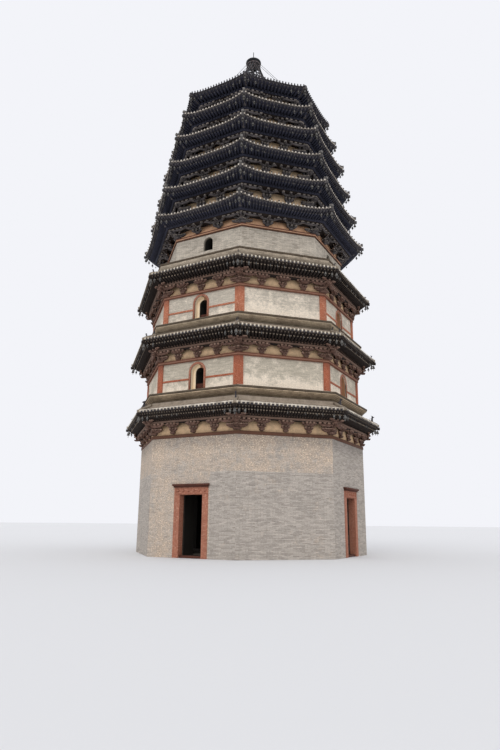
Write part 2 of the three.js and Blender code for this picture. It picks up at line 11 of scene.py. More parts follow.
import bpy
import numpy as np
from mathutils import Matrix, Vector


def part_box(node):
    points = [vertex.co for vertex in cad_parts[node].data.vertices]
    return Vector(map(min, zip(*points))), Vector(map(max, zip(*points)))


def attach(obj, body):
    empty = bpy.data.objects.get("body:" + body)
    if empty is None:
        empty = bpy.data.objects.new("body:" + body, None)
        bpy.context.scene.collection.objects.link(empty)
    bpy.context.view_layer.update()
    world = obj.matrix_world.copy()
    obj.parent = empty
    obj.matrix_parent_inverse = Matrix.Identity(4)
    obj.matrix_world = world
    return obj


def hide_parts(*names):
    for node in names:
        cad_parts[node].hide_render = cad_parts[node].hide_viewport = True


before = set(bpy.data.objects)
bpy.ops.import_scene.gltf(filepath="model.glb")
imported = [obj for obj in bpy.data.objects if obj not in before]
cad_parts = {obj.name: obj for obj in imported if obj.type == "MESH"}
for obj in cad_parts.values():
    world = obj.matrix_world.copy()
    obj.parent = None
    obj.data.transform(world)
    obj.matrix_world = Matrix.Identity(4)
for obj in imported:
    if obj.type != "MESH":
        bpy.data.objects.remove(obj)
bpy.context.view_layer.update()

# %% [markdown]
# ## Measures
# All sizes below are those of the real tower, in metres, because a mason's measures are easier to
# judge than halves of them. SCALE brings them to the model when a mesh is made. A radius is
# always that of an octagon's corners, and ROOM that of the rooms of the three lowest storeys.
# Shapes are drawn on the front side, which looks along -Y, and are then turned to the other seven.

# %% Measures and levels from the frame
SCALE = 0.5
SIDES = 8
TURN = 2 * pi / SIDES
HALF = TURN / 2
FACE_TURNS = np.arange(SIDES) * TURN
EVEN_FACES = FACE_TURNS[::2]
CORNER_TURNS = FACE_TURNS + HALF
ROOM = 5.6
SEED = 11


def corner_radius(node):
    """Reach of a node along Y, which is the octagon's apothem, divided by cos(22.5 degrees)."""
    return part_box(node)[1].y / SCALE / cos(HALF)


def foot_of(node):
    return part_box(node)[0].z / SCALE


def head_of(node):
    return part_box(node)[1].z / SCALE


print("eave tip radius", round(corner_radius("first_eave"), 2), "m")

# %% [markdown]
# ## Shapes from whole arrays
# Nearly everything on the tower is an outline that is carried along a path: a beam round the
# octagon, a tile up a slope, an arm across a bracket. One skinning helper makes all of them, and it
# takes many equal pieces at once. A shape is three arrays: points, faces of four corners and faces
# of three.

# %% Skin, copy and turn
NO_TRIANGLES = np.zeros((0, 3), int)


def outward(shape):
    """Sums the signed volumes of the faces' cones to the origin. A negative sum means that the
    faces look inwards, and their corners are then listed backwards."""
    points, quads, triangles = shape
    halves = np.concatenate([quads[:, [0, 1, 2]], quads[:, [0, 2, 3]], triangles])
    a, b, c = (points[halves[:, i]] for i in range(3))
    if np.einsum("ij,ij->", a, np.cross(b, c)) < 0:
        return points, quads[:, ::-1], triangles[:, ::-1]
    return shape


def copies(shape, places):
    """Copies a shape for each row of places, an array of its points at every place."""
    points, quads, triangles = shape
    steps = np.arange(len(places))[:, None, None] * len(points)
    return places.reshape(-1, 3), (quads + steps).reshape(-1, 4), (triangles + steps).reshape(-1, 3)


def loft(sections, closed=False):
    """Skins outlines of m points at n stations, for any number of pieces at once: four-cornered
    faces between neighbours, and a fan of triangles over each end unless the path is closed."""
    batch = sections.reshape((-1,) + sections.shape[-3:])
    n, m = batch.shape[1:3]
    index = np.arange(n * m).reshape(n, m)
    path = np.vstack([index, index[:1]]) if closed else index
    beside = np.roll(path, -1, axis=1)
    quads = np.stack([path[:-1], beside[:-1], beside[1:], path[1:]], -1).reshape(-1, 4)
    triangles = NO_TRIANGLES
    if not closed:
        fan = np.stack([np.zeros(m - 2, int), np.arange(1, m - 1), np.arange(2, m)], -1)
        triangles = np.concatenate([index[0][fan[:, ::-1]], index[-1][fan]])
    return outward(copies((batch[0].reshape(-1, 3), quads, triangles), batch))


def combine(shapes):
    """Lists shapes one after another, with each one's face numbers raised by the points before it."""
    starts = np.cumsum([0] + [len(shape[0]) for shape in shapes])
    quads, triangles = (np.concatenate([shape[kind] + start for shape, start in zip(shapes, starts)])
                        for kind in (1, 2))
    return np.concatenate([shape[0] for shape in shapes]), quads, triangles


def placed(shape, offsets):
    return copies(shape, shape[0] + np.asarray(offsets, float).reshape(-1, 1, 3))


def scaled(shape, factors):
    return shape[0] * factors, shape[1], shape[2]


def turn(x, y, z, angles):
    """Turns about the upright axis: x' = x cos a - y sin a, and y' = x sin a + y cos a."""
    sine, cosine = np.sin(angles), np.cos(angles)
    return np.stack([x * cosine - y * sine, x * sine + y * cosine, z + 0 * angles], -1)


def turned(shape, angles):
    return copies(shape, turn(*shape[0].T, np.atleast_1d(angles)[:, None]))


square = np.array([[-1.0, -1.0, 0.0], [1.0, -1.0, 0.0], [1.0, 1.0, 0.0], [-1.0, 1.0, 0.0]])
cube = loft(np.stack([square, square + [0, 0, 2.0]]))
print("a cube has", len(cube[1]), "four-cornered faces, and", len(cube[2]), "triangles over its ends")


# %% [markdown]
# ## Eaves that curve
# A side's edge is straight for most of its length and lifts towards both corners, as the rafters
# there are raised one by one. Every piece of an eave goes through the same bend, so
# tiles, rafters and boards stay together.

# %% The bend of an eave and rings round the tower
class Bend:
    """The sweep of one eave: from nothing at the inner radius to all of it at the tip."""

    def __init__(self, inner, tip, thrust=0.0, lift=0.0):
        self.inner = inner * cos(HALF)
        self.outer = (tip - thrust) * cos(HALF)
        self.thrust = thrust
        self.lift = lift

    def place(self, along, depth, height):
        """Moves points at (along, depth from the axis, height) on the front side. With s the share
        of the way out and u the share of the way to the corner, a point goes thrust times s times
        u cubed outwards, and lift times s times u to the fourth power upwards."""
        share = np.clip((depth - self.inner) / (self.outer - self.inner), 0, None)
        to_corner = np.clip(np.abs(along) / (depth * tan(HALF)), 0, 1)
        push = self.thrust * share * to_corner**3
        angle = np.arctan2(along, depth)
        lifted = height + self.lift * share * to_corner**4
        return np.stack([along + push * np.sin(angle), -depth - push * np.cos(angle), lifted], -1)


STRAIGHT = Bend(1.0, 2.0)


def ring(profile, bend=STRAIGHT, steps=1):
    """Carries a closed outline of (corner radius, height) round the octagon, with a number of
    steps along each side. A step at u, from -1 to 1, stands at u times depth times tan(22.5)."""
    radius, height = np.asarray(profile, float).T
    u = np.linspace(-1, 1, steps, endpoint=False)[:, None]
    depth = radius * cos(HALF) + 0 * u
    side = bend.place(depth * u * tan(HALF), depth, height + 0 * u)
    around = turn(*np.moveaxis(side, -1, 0), FACE_TURNS[:, None, None])
    return loft(around.reshape(-1, len(radius), 3), closed=True)


def circle(count):
    """Equal angles all the way round."""
    return np.linspace(0, 2 * pi, count, endpoint=False)


def revolve(profile, segments):
    """Turns an open outline of (radius, height) about the axis. The ends are closed by fans."""
    radius, height = np.asarray(profile, float).T
    angles = circle(segments)
    level = np.stack([np.cos(angles), np.sin(angles), 0 * angles], -1)
    return loft(radius[:, None, None] * level + height[:, None, None] * np.array([0, 0, 1.0]))


def oblong(inner, outer, foot, top):
    return [(inner, foot), (outer, foot), (outer, top), (inner, top)]


def bevelled(inner, outer, foot, top, cut=0.02):
    """The outline of a beam's section with its two outer edges cut off."""
    return [(inner, foot), (outer - cut, foot), (outer, foot + cut), (outer, top - cut),
            (outer - cut, top), (inner, top)]


print("a plain beam round the tower has", len(ring(oblong(7.0, 7.5, 0.0, 0.2))[1]), "faces")


# %% [markdown]
# ## From arrays to a Blender piece
# foreach_set writes the arrays straight into a mesh, which is quick for a hundred thousand faces.
# Each piece rides on the one fixed body and hides the CAD nodes that it stands for.

# %% Make a piece
made = {}


def add_object(name, data):
    thing = bpy.data.objects.new(name, data)
    bpy.context.scene.collection.objects.link(thing)
    return thing


def make_piece(name, painted, replaces=()):
    """painted is a list of (shape, finish). Points are scaled to the model here, once."""
    points, quads, triangles = combine([shape for shape, finish in painted])
    sizes = np.repeat([4, 3], [len(quads), len(triangles)])
    corners = np.concatenate([quads.ravel(), triangles.ravel()])
    finishes = list(dict.fromkeys(finish for shape, finish in painted))
    numbers = [finishes.index(finish) for shape, finish in painted]
    paint = [np.repeat(numbers, [len(shape[kind]) for shape, finish in painted]) for kind in (1, 2)]
    mesh = bpy.data.meshes.new(name)
    mesh.vertices.add(len(points))
    mesh.vertices.foreach_set("co", (points * SCALE).ravel())
    mesh.loops.add(len(corners))
    mesh.loops.foreach_set("vertex_index", corners.astype(np.int32))
    mesh.polygons.add(len(sizes))
    mesh.polygons.foreach_set("loop_start", (np.cumsum(sizes) - sizes).astype(np.int32))
    mesh.polygons.foreach_set("material_index", np.concatenate(paint).astype(np.int32))
    for finish in finishes:
        mesh.materials.append(finish)
    mesh.update(calc_edges=True)
    mesh.validate()
    piece = add_object(name, mesh)
    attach(piece, "root")
    if replaces:
        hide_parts(*replaces)
    made[name] = len(triangles) + 2 * len(quads)
    print(name, made[name], "triangles")


print("pieces so far", len(made))


# %% [markdown]
# ## Small words for shader nodes
# A material here is a short chain of sums and mixes. A signal stands for the output of a node, and
# the signs + - * between signals add Math nodes, so that a finish can be read as a formula.

# %% Shader helpers
class Signal:
    """The output socket of a node. Its tree is where the nodes that use it are added."""

    def __init__(self, socket):
        self.socket = socket

    def __add__(self, other):
        return calc("ADD", self, other)

    def __sub__(self, other):
        return calc("SUBTRACT", self, other)

    def __rsub__(self, other):
        return calc("SUBTRACT", other, self)

    def __mul__(self, other):
        return calc("MULTIPLY", self, other)


def wire(socket, value):
    """Links the socket if the value is a signal, and sets it otherwise."""
    if isinstance(value, Signal):
        socket.id_data.links.new(value.socket, socket)
    else:
        socket.default_value = value


def feed(node, values):
    """Feeds a node's inputs, in their order or by their names or numbers, and gives the node back."""
    for key, value in values.items() if isinstance(values, dict) else enumerate(values):
        wire(node.inputs[key], value)
    return node


def new_node(kind, *values):
    """Adds a node to the tree of the first signal among the values."""
    tree = next(value.socket.id_data for value in values if isinstance(value, Signal))
    return tree.nodes.new("ShaderNode" + kind)


def calc(operation, *values):
    node = new_node("Math", *values)
    node.operation = operation
    return Signal(feed(node, values).outputs[0])


def between(value, low, high):
    """0 below low, 1 above high and a straight line between them."""
    return Signal(feed(new_node("MapRange", value), (value, low, high, 0.0, 1.0)).outputs[0])


def mix(share, first, second, mode="MIX"):
    node = new_node("Mix", share, first)
    node.data_type = "RGBA"
    node.blend_type = mode
    return Signal(feed(node, {0: share, 6: first, 7: second}).outputs[2])


def vector(x, y, z):
    return Signal(feed(new_node("CombineXYZ", x, y, z), (x, y, z)).outputs[0])


def noise(place, scale, detail, roughness):
    settings = {"Vector": place, "Scale": scale, "Detail": detail, "Roughness": roughness}
    return Signal(feed(new_node("TexNoise", place), settings).outputs[0])


def shade(red, green, blue):
    """An sRGB colour from 0 to 255, made linear as the shader wants it."""
    levels = np.array([red, green, blue]) / 255
    linear = np.where(levels <= 0.04045, levels / 12.92, ((levels + 0.055) / 1.055) ** 2.4)
    return (*linear.tolist(), 1.0)


print("half of 255 is", round(shade(128, 128, 128)[0], 2), "of full light")


# %% [markdown]
# ## Where a point is on the tower
# Brick courses run level round all eight sides. The group below turns Object coordinates into a
# mason's: how far along its side a point is, how deep from the axis, how high, and which side it is
# on. The angle from the front, rounded to eighths of a turn, gives the side, and turning the
# point back by it gives the rest. All are in the real tower's metres.

# %% Node group: place on the tower
PLACE_NAMES = ["Along", "Depth", "Height", "Side"]


def new_group(name, inputs, outputs):
    """Gives the group, the signals of its inputs and the node that takes its outputs."""
    group = bpy.data.node_groups.new(name, "ShaderNodeTree")
    for labels, way in ((inputs, "INPUT"), (outputs, "OUTPUT")):
        for label in labels:
            group.interface.new_socket(label, in_out=way, socket_type="NodeSocketFloat")
    inside = group.nodes.new("NodeGroupInput")
    return group, [Signal(inside.outputs[label]) for label in inputs], group.nodes.new("NodeGroupOutput")


def place_group():
    group, _, out = new_group("place_on_tower", [], PLACE_NAMES)
    split = group.nodes.new("ShaderNodeSeparateXYZ")
    group.links.new(group.nodes.new("ShaderNodeTexCoord").outputs["Object"], split.inputs[0])
    x, y, z = (calc("DIVIDE", Signal(socket), SCALE) for socket in split.outputs)
    side = calc("ROUND", calc("DIVIDE", calc("ARCTAN2", x, y * -1.0), TURN))
    back = side * TURN
    sine, cosine = calc("SINE", back), calc("COSINE", back)
    feed(out, (x * cosine + y * sine, x * sine - y * cosine, z, side))
    return group


PLACE = place_group()
print("group", PLACE.name)

# %% [markdown]
# ## Brick courses, weather and grain
# Three effects serve most finishes. Bricks are laid half over half in courses about seven
# centimetres high, and each one is fired a little lighter or darker. Weather leaves broad
# patches, streaks that run down the wall, level bands where courses weathered alike, speckles the
# size of half a brick, and grit. Timber has a grain that is long in one direction. Each adds to the
# distance along a side a shift per side, so that no two sides are alike.

# %% Node groups: bricks, weather, grain
BRICK_LENGTH = 0.36
BRICK_COURSE = 0.072
BRICK_SHIFT, WEATHER_SHIFT, GRAIN_SHIFT = 7.13, 17.3, 9.7


def brick_group():
    group, (along, depth, height, side), out = new_group("brick_courses", PLACE_NAMES, ["Joint", "Tone"])
    bricks = feed(group.nodes.new("ShaderNodeTexBrick"), {
        "Vector": vector(along + depth + side * BRICK_SHIFT, height, 0.0), "Color1": (0, 0, 0, 1),
        "Color2": (1, 1, 1, 1), "Mortar": (0.5, 0.5, 0.5, 1), "Scale": 1.0, "Mortar Size": 0.008,
        "Mortar Smooth": 0.3, "Brick Width": BRICK_LENGTH, "Row Height": BRICK_COURSE})
    tone = feed(group.nodes.new("ShaderNodeRGBToBW"), [Signal(bricks.outputs["Color"])])
    feed(out, (Signal(bricks.outputs["Fac"]), Signal(tone.outputs[0])))
    return group


def weather_group():
    """Squeezing a direction before the noise is looked up stretches its spots that way."""
    labels = ["Patches", "Streaks", "Grit", "Blotches", "Bands", "Speckle"]
    group, (along, depth, height, side), out = new_group("weather", PLACE_NAMES, labels)
    run = along + side * WEATHER_SHIFT
    spot = vector(run, depth, height)
    feed(out, (noise(spot, 0.55, 5.0, 0.6),
               noise(vector(run, depth, height * 0.12), 3.2, 4.0, 0.6),
               noise(spot, 24.0, 3.0, 0.7),
               noise(spot, 3.0, 5.0, 0.65),
               noise(vector(run * 0.3, depth, height * 2.6), 3.0, 4.0, 0.7),
               noise(vector(run * 0.8, depth, height * 1.4), 13.0, 3.0, 0.7)))
    return group


def grain_group():
    group, (along, depth, height, side), out = new_group("timber_grain", PLACE_NAMES, ["Grain"])
    run = (along + side * GRAIN_SHIFT) * 0.16
    feed(out, [noise(vector(run, depth, height), 16.0, 4.0, 0.6)])
    return group


BRICKS = brick_group()
WEATHER = weather_group()
GRAIN = grain_group()


def use_group(tree, group, place=()):
    """Adds a group to a material, fed from the place on the tower, and gives its outputs by name."""
    node = tree.nodes.new("ShaderNodeGroup")
    node.node_tree = group
    feed(node, place)
    return {socket.name: Signal(socket) for socket in node.outputs}


print("groups", [group.name for group in (BRICKS, WEATHER, GRAIN)])

# %% [markdown]
# ## Finishes of brick and plaster
# A masonry finish starts from a clean and a worn colour. A mask made of patches, blotches and grit
# mixes them, streaks run down from above, each brick keeps its own tone, and the joints are a
# little darker and lie deeper. Limewash hides most of the joints where it is still whole.

# %% Masonry materials
def start_material(name, roughness, metallic=0.0):
    material = bpy.data.materials.new(name)
    material.use_nodes = True
    shader = material.node_tree.nodes["Principled BSDF"]
    feed(shader, {"Roughness": roughness, "Specular IOR Level": 0.2, "Metallic": metallic})
    return material, material.node_tree, shader


def weathered(name, roughness, metallic=0.0):
    """A new material, with the place on the tower and the weather there."""
    material, tree, shader = start_material(name, roughness, metallic)
    place = use_group(tree, PLACE)
    return material, tree, shader, place, use_group(tree, WEATHER, place)


def complete(shader, colour, relief, distance):
    """Feeds the colour, and the relief through a Bump node, its distance in the model's metres."""
    bump = feed(new_node("Bump", relief), {"Distance": distance, "Strength": 0.6, "Height": relief})
    feed(shader, {"Base Color": colour, "Normal": Signal(bump.outputs[0])})


def darker(colour, share):
    return shade(*[int(value * share) for value in colour])


# Painted shade: the dark that a wall turns to deep inside its openings, where little light reaches.
ROOM_SHADE = shade(54, 51, 47)
# Pale lime: the real colour of the mortar flecks, and painted light on the left jambs of openings.
PALE_LIME_AND_REVEAL_LIGHT = shade(255, 236, 204)
BROWN_LIME = shade(176, 132, 102)


def masonry(name, clean, worn, joint, low=0.42, high=0.62, streak=0.25, joints=0.5, tone=0.5, bands=0.6,
            speckle=0.6, flecks=0.0, change=None, room=None, reveal=None, painted_shade=None):
    """flecks is the strength of light mortar left on unworn brick. change is a function (place,
    mask) that gives a new wear mask. room is the pair of depths between which a painted shade turns
    a wall dark towards the inside, reveal the pair between which the sides of an opening turn to lime
    lightened by painted light on the left and to browned lime on the right, and painted_shade a level,
    the level where this painted shade is full, and the share of light it takes."""
    material, tree, shader, place, weather = weathered(name, 0.92)
    bricks = use_group(tree, BRICKS, place)
    mask = weather["Patches"] * 0.45 + weather["Blotches"] * 0.4 + weather["Grit"] * 0.15
    if change:
        mask = change(place, mask)
    wear = between(mask, low, high)
    light = (bricks["Tone"] - 0.5) * tone * (wear + 0.35) + 1.0
    light = light + (weather["Bands"] - 0.5) * bands + (weather["Speckle"] - 0.5) * speckle
    # Painted shade: the colour darkens between two levels, below an eave or towards a ledge's foot.
    if painted_shade:
        light = light * (1.0 - between(place["Height"], painted_shade[0], painted_shade[1]) * painted_shade[2])
    colour = mix(1.0, mix(wear, shade(*clean), shade(*worn)), vector(light, light, light), "MULTIPLY")
    seam = bricks["Joint"] * joints
    colour = mix(seam, colour, shade(*joint))
    colour = mix(between(weather["Streaks"], 0.5, 0.72) * streak, colour, darker(worn, 0.62))
    if flecks:
        spots = between(weather["Speckle"], 0.54, 0.64) * (1.0 - wear)
        colour = mix(spots * flecks, colour, PALE_LIME_AND_REVEAL_LIGHT)
    # Painted light: the left jamb is lighter than the limewash. The right jamb is browned lime.
    if reveal:
        jamb = mix(calc("GREATER_THAN", place["Along"], 0.0), PALE_LIME_AND_REVEAL_LIGHT, BROWN_LIME)
        colour = mix(between(place["Depth"], *reveal), jamb, colour)
    # Painted shade: deep in an opening the wall turns to the dark of the unlit room.
    if room:
        colour = mix(between(place["Depth"], *room), ROOM_SHADE, colour)
    complete(shader, colour, weather["Grit"] * 0.5 - seam, 0.006)
    return material


print("the rooms' dark in linear light", [round(value, 3) for value in ROOM_SHADE])

# %% [markdown]
# ## The masonry storey by storey
# The ground storey is bare brick, partly faced anew in greyer brick. The second and third are
# limewashed between red pillars, and the fourth is plain again. Just below an eave the walls are
# darker, a shade painted into their colour, and the ledges' courses get a painted shade towards
# their foot. These are all the same finish with other colours and levels.

# %% Finishes of walls, ledges and floors
REPAIR_LEVEL = 4.95
DOORWAY_EDGE = 1.3


def repaired(place, mask):
    """The lower wall is faced anew on the sides without a doorway and right of each doorway, and the
    right-hand side up to its head. New brick counts as worn, because it is the greyer of the two."""
    low = calc("LESS_THAN", place["Height"], REPAIR_LEVEL)
    odd = calc("PINGPONG", place["Side"], 1.0)
    beside = calc("LESS_THAN", odd, 0.5) * calc("GREATER_THAN", place["Along"], DOORWAY_EDGE)
    right = calc("COMPARE", place["Side"], 2.0, 0.1)
    return mask + calc("MAXIMUM", low * calc("MAXIMUM", odd, beside), right) * 0.16


def worn_above(foot):
    """Limewash keeps best near the foot of a panel, and on the sides away from the front."""
    def change(place, mask):
        rise = between(place["Height"], foot + 0.35, foot + 1.0)
        return mask + (rise - 0.6) * 0.16 + calc("COMPARE", place["Side"], 0.0, 0.1) * 0.06
    return change


def limewash(storey, worn, room, reveal, shadow, dimming):
    """shadow is the height of the dimmer strip below the eave."""
    foot, head = foot_of(f"{storey}_wall"), head_of(f"{storey}_wall")
    return masonry(f"{storey}_limewash", (242, 228, 208), worn, (150, 140, 124), 0.44, 0.58, 0.1, 0.3, 0.22,
                   0.2, 1.0, change=worn_above(foot), room=room, reveal=reveal,
                   painted_shade=(head - shadow, head, dimming))


ground_brick = masonry("ground_brick", (196, 177, 159), (180, 171, 161), (124, 113, 102), 0.44, 0.6, 0.15,
                       0.5, 0.3, 0.5, 1.1, 0.7, change=repaired, room=(6.2, 6.8), painted_shade=(6.15, 7.05, 0.36))
second_limewash = limewash("second", (190, 180, 162), (6.76, 6.80), (7.09, 7.12), 0.7, 0.16)
third_limewash = limewash("third", (194, 184, 168), (6.57, 6.61), (6.91, 6.94), 0.5, 0.1)
fourth_brick = masonry("fourth_brick", (225, 214, 197), (194, 183, 167), (126, 117, 106), 0.42, 0.6, 0.15,
                       0.6, 0.5, 0.25, 0.6, room=(6.1, 6.28),
                       painted_shade=(foot_of("fourth_wall"), head_of("fourth_wall"), 0.24))
ledge_finishes = {}
for name, clean, worn in (("first", (214, 191, 160), (174, 153, 126)),
                          ("second", (203, 185, 157), (165, 147, 124)),
                          ("third", (203, 188, 166), (165, 150, 131))):
    # Painted shade: the courses darken towards the ledge's foot, below its overhang.
    painted_shade = (head_of(f"{name}_ledge") - 0.18, foot_of(f"{name}_ledge"), 0.78)
    ledge_finishes[name] = masonry(f"{name}_ledge_brick", clean, worn, (80, 69, 57), 0.4, 0.6, 0.12, 0.6,
                                   painted_shade=painted_shade)
floor_brick = masonry("floor_brick", (120, 113, 104), (98, 91, 83), (70, 64, 58), 0.4, 0.6, 0.1, 0.5)
plinth_wash = masonry("plinth_wash", (222, 208, 188), (188, 174, 154), (150, 140, 124), 0.46, 0.62, 0.2, 0.2)
print("masonry ready")

# %% [markdown]
# ## Finishes of timber, tile and iron
# The pillars still have most of their red earth paint. The brackets have lost theirs and are purple
# brown below and nearly black above. The tiles are fired grey clay with lime at their ends. Each of
# them is a base colour, a second one for wear, and a mask.

# %% Timber, plaster, tile and iron materials
def timber(name, painted, bare, low=0.5, high=0.66, painted_shade_from=None, flecks=None):
    """Grain, blotches and grit make the mask by which bare wood shows through the paint.
    painted_shade_from is the pair of levels between which a painted shade darkens the paint, below
    an eave, and flecks the colour of the lime below the paint where it has flaked off in small spots."""
    material, tree, shader, place, weather = weathered(name, 0.8)
    grain = use_group(tree, GRAIN, place)["Grain"]
    mask = grain * 0.4 + weather["Blotches"] * 0.4 + weather["Grit"] * 0.2
    colour = mix(between(mask, low, high), shade(*painted), shade(*bare))
    colour = mix(between(weather["Streaks"], 0.45, 0.75) * 0.3, colour, darker(painted, 0.6))
    if flecks:
        colour = mix(between(weather["Speckle"], 0.5, 0.66) * 0.75, colour, shade(*flecks))
    # Painted shade under the beam above.
    if painted_shade_from:
        colour = mix(between(place["Height"], *painted_shade_from) * 0.65, colour, shade(112, 68, 54))
    complete(shader, colour, grain + weather["Grit"] * 0.4, 0.003)
    return material


def mineral(name, main, other, low=0.42, high=0.62, roughness=0.9, metallic=0.0):
    """Clay, lime plaster or iron: two colours mixed by blotches and grit."""
    material, tree, shader, place, weather = weathered(name, roughness, metallic)
    mask = weather["Blotches"] * 0.6 + weather["Grit"] * 0.4
    complete(shader, mix(between(mask, low, high), shade(*main), shade(*other)), mask, 0.003)
    return material


def pillar_paint(storey, painted, bare, beam_height, flecks):
    """The paint of a storey's pillars, with a painted shade just below their beam."""
    beam_foot = head_of(f"{storey}_pillar_frame") - beam_height
    shadow = (beam_foot - 0.6, beam_foot + 0.05)
    return timber(f"{storey}_paint", painted, bare, painted_shade_from=shadow, flecks=flecks)


second_paint = pillar_paint("second", (164, 90, 64), (132, 78, 58), 0.20, (206, 148, 118))
third_paint = pillar_paint("third", (178, 108, 80), (144, 88, 66), 0.19, (214, 160, 130))
red_paint = timber("red_paint", (166, 108, 86), (136, 86, 68), flecks=(196, 148, 124))
dark_red = timber("dark_red", (92, 56, 45), (68, 43, 38))
beam_paint = timber("beam_paint", (98, 67, 52), (78, 56, 45))
line_paint = timber("line_paint", (116, 76, 60), (92, 60, 49))
pale_line = timber("pale_line", (164, 124, 102), (136, 102, 84))
peach_line = timber("peach_line", (216, 170, 136), (180, 136, 108))
low_rafter = timber("low_rafter", (46, 38, 34), (32, 27, 25))
# The blue-grey of the high board, soffit and rafters, and of the high brackets' bare wood, is painted shade:
# the sky's tint in the deep shadow of the high eaves.
high_board = timber("high_board", (53, 54, 67), (38, 40, 51))
high_bracket = timber("high_bracket", (103, 97, 96), (49, 48, 53), 0.42, 0.58, flecks=(132, 122, 116))
high_end = mineral("high_end", (100, 96, 94), (58, 56, 59), 0.4, 0.6)
peach_plaster = mineral("peach_plaster", (240, 192, 152), (200, 154, 120))
grey_tile = mineral("grey_tile", (90, 87, 86), (62, 60, 62))
dark_tile = mineral("dark_tile", (76, 73, 76), (50, 48, 52))
hip_tile = mineral("hip_tile", (132, 128, 123), (88, 85, 84))
pale_tile = mineral("pale_tile", (158, 145, 128), (117, 105, 92))
edge_lime = mineral("edge_lime", (222, 212, 198), (156, 144, 131), 0.46, 0.6)
# The slab edge of the ledges is painted dark: a painted shadow below the slab.
ledge_edge = mineral("ledge_edge", (98, 86, 72), (78, 68, 57))
bell_bronze = mineral("bell_bronze", (120, 117, 112), (76, 74, 74), roughness=0.7)
old_iron = mineral("old_iron", (62, 64, 67), (46, 44, 44), roughness=0.6, metallic=0.4)
grey_iron = mineral("grey_iron", (130, 118, 116), (98, 88, 88), roughness=0.8)
print("finishes so far", len(bpy.data.materials))

# %% [markdown]
# ## Three looks
# Every storey's brackets and eave are made by the same functions. What differs is a set of finishes:
# one for the three low eaves and one for those from the fourth up. The top roof has the latter, with
# darker tiles at its edge and on its hips.

# %% Looks of the low eaves, the high eaves and the top roof
LOW = SimpleNamespace(
    slot="low_brackets",
    bracket=timber("low_bracket", (110, 82, 70), (72, 53, 46), 0.42, 0.6, flecks=(146, 118, 104)),
    # The small blocks are painted paler than the arms, as painted highlights.
    block=timber("low_block", (156, 124, 108), (102, 79, 68), 0.42, 0.6, flecks=(196, 168, 150)),
    board=timber("low_board", (118, 95, 82), (88, 71, 62)),
    plaster=mineral("ochre_plaster", (214, 181, 143), (176, 150, 120)),
    soffit=timber("low_soffit", (36, 29, 26), (26, 22, 20)), rafter=low_rafter, around=low_rafter,
    rafter_end=mineral("rafter_end", (120, 108, 94), (72, 64, 58), 0.4, 0.6),
    round_end=mineral("round_end", (164, 148, 130), (104, 93, 82), 0.4, 0.6),
    corner_beam=low_rafter, beam_end=low_rafter, bed=mineral("pale_clay", (163, 148, 131), (131, 118, 103)),
    tile=pale_tile, edge=mineral("low_edge_lime", (226, 216, 198), (140, 129, 116), 0.46, 0.6),
    drip=dark_tile, hip=pale_tile, beast=dark_tile)
HIGH = SimpleNamespace(
    slot="high_brackets", bracket=high_bracket,
    # The small blocks are painted paler than the arms, as painted highlights.
    block=timber("high_block", (166, 154, 143), (80, 76, 76), 0.42, 0.6, flecks=(176, 166, 154)),
    # Painted light: the high plaster is paler than the low, for light that the deep high eaves keep from it.
    board=high_board, plaster=mineral("pale_plaster", (250, 219, 180), (208, 176, 140)),
    # Painted shade: the blue-grey of the high soffit and rafters, as for the high board.
    soffit=timber("high_soffit", (57, 57, 70), (36, 37, 47)),
    rafter=timber("high_rafter", (66, 63, 68), (40, 38, 43)), around=high_board,
    rafter_end=high_end, round_end=high_end, corner_beam=high_bracket, beam_end=high_end, bed=grey_tile,
    tile=grey_tile, edge=edge_lime, drip=mineral("drip_tile", (126, 118, 110), (86, 80, 76)),
    hip=hip_tile, beast=hip_tile, knob=grey_tile)
TOP = SimpleNamespace(**vars(HIGH))
TOP.edge = TOP.drip = TOP.hip = TOP.beast = TOP.knob = dark_tile
print("materials", len(bpy.data.materials))

# %% [markdown]
# ## The fixed nodes that stay
# The walls, floors, doorway frames and pillars of the CAD part are already their final shape, and so
# are the mast, the rod and the stays. They only get a finish. A part of a node's name chooses it.

# %% Dress the CAD nodes
finishes_of_nodes = {
    "ground_wall": (ground_brick, "worn_brick"), "second_wall": (second_limewash, "limewashed_brick"),
    "third_wall": (third_limewash, "limewashed_brick"), "fourth_wall": (fourth_brick, "grey_brick"),
    "portal": (red_paint, "red_timber"), "second_pillar_frame": (second_paint, "red_timber"),
    "third_pillar_frame": (third_paint, "red_timber"),
    "floor": (floor_brick, "floor_brick"), "finial": (old_iron, "iron"), "stay": (old_iron, "iron"),
}
for name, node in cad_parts.items():
    for part, (finish, slot) in finishes_of_nodes.items():
        if part in name:
            node.data.materials.clear()
            node.data.materials.append(finish)
print("dressed", len(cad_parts), "nodes")

# %% [markdown]
# ## Timber bracket arms
# A bracket set hands the weight of the eave down to the wall. It grows outwards in tiers: a square
# block carries crossed arms, each arm carries small blocks, and these carry the next tier. An arm is
# a rectangle carried along its length while its underside curls up at the ends.

# %% Blocks, arms and noses
def block(width, height, waist=0.7):
    """A square block whose foot is drawn in: outlines at the foot, at two fifths and at the head."""
    half = width / 2
    corners = np.array([[-1, -1], [1, -1], [1, 1], [-1, 1]])
    stations = [(half * waist, 0.0), (half, 0.4 * height), (half, height)]
    return loft(np.array([[[x * size, y * size, z] for x, y in corners] for size, z in stations]))


def bar(centre, under, top, half_width, axis):
    """A bar whose outline has its own underside and top at each station. Along axis 0 it lies
    across the wall, along axis 1 it points out of it."""
    under, top = np.broadcast_arrays(np.asarray(under, float), np.asarray(top, float))
    half = np.broadcast_to(half_width, under.shape)
    across = np.stack([-half, half, half, -half], -1)
    height = np.stack([under, under, top, top], -1)
    run = np.repeat(np.asarray(centre, float)[:, None], 4, 1)
    pair = (run, across) if axis == 0 else (across, run)
    return loft(np.stack([*pair, height], -1))


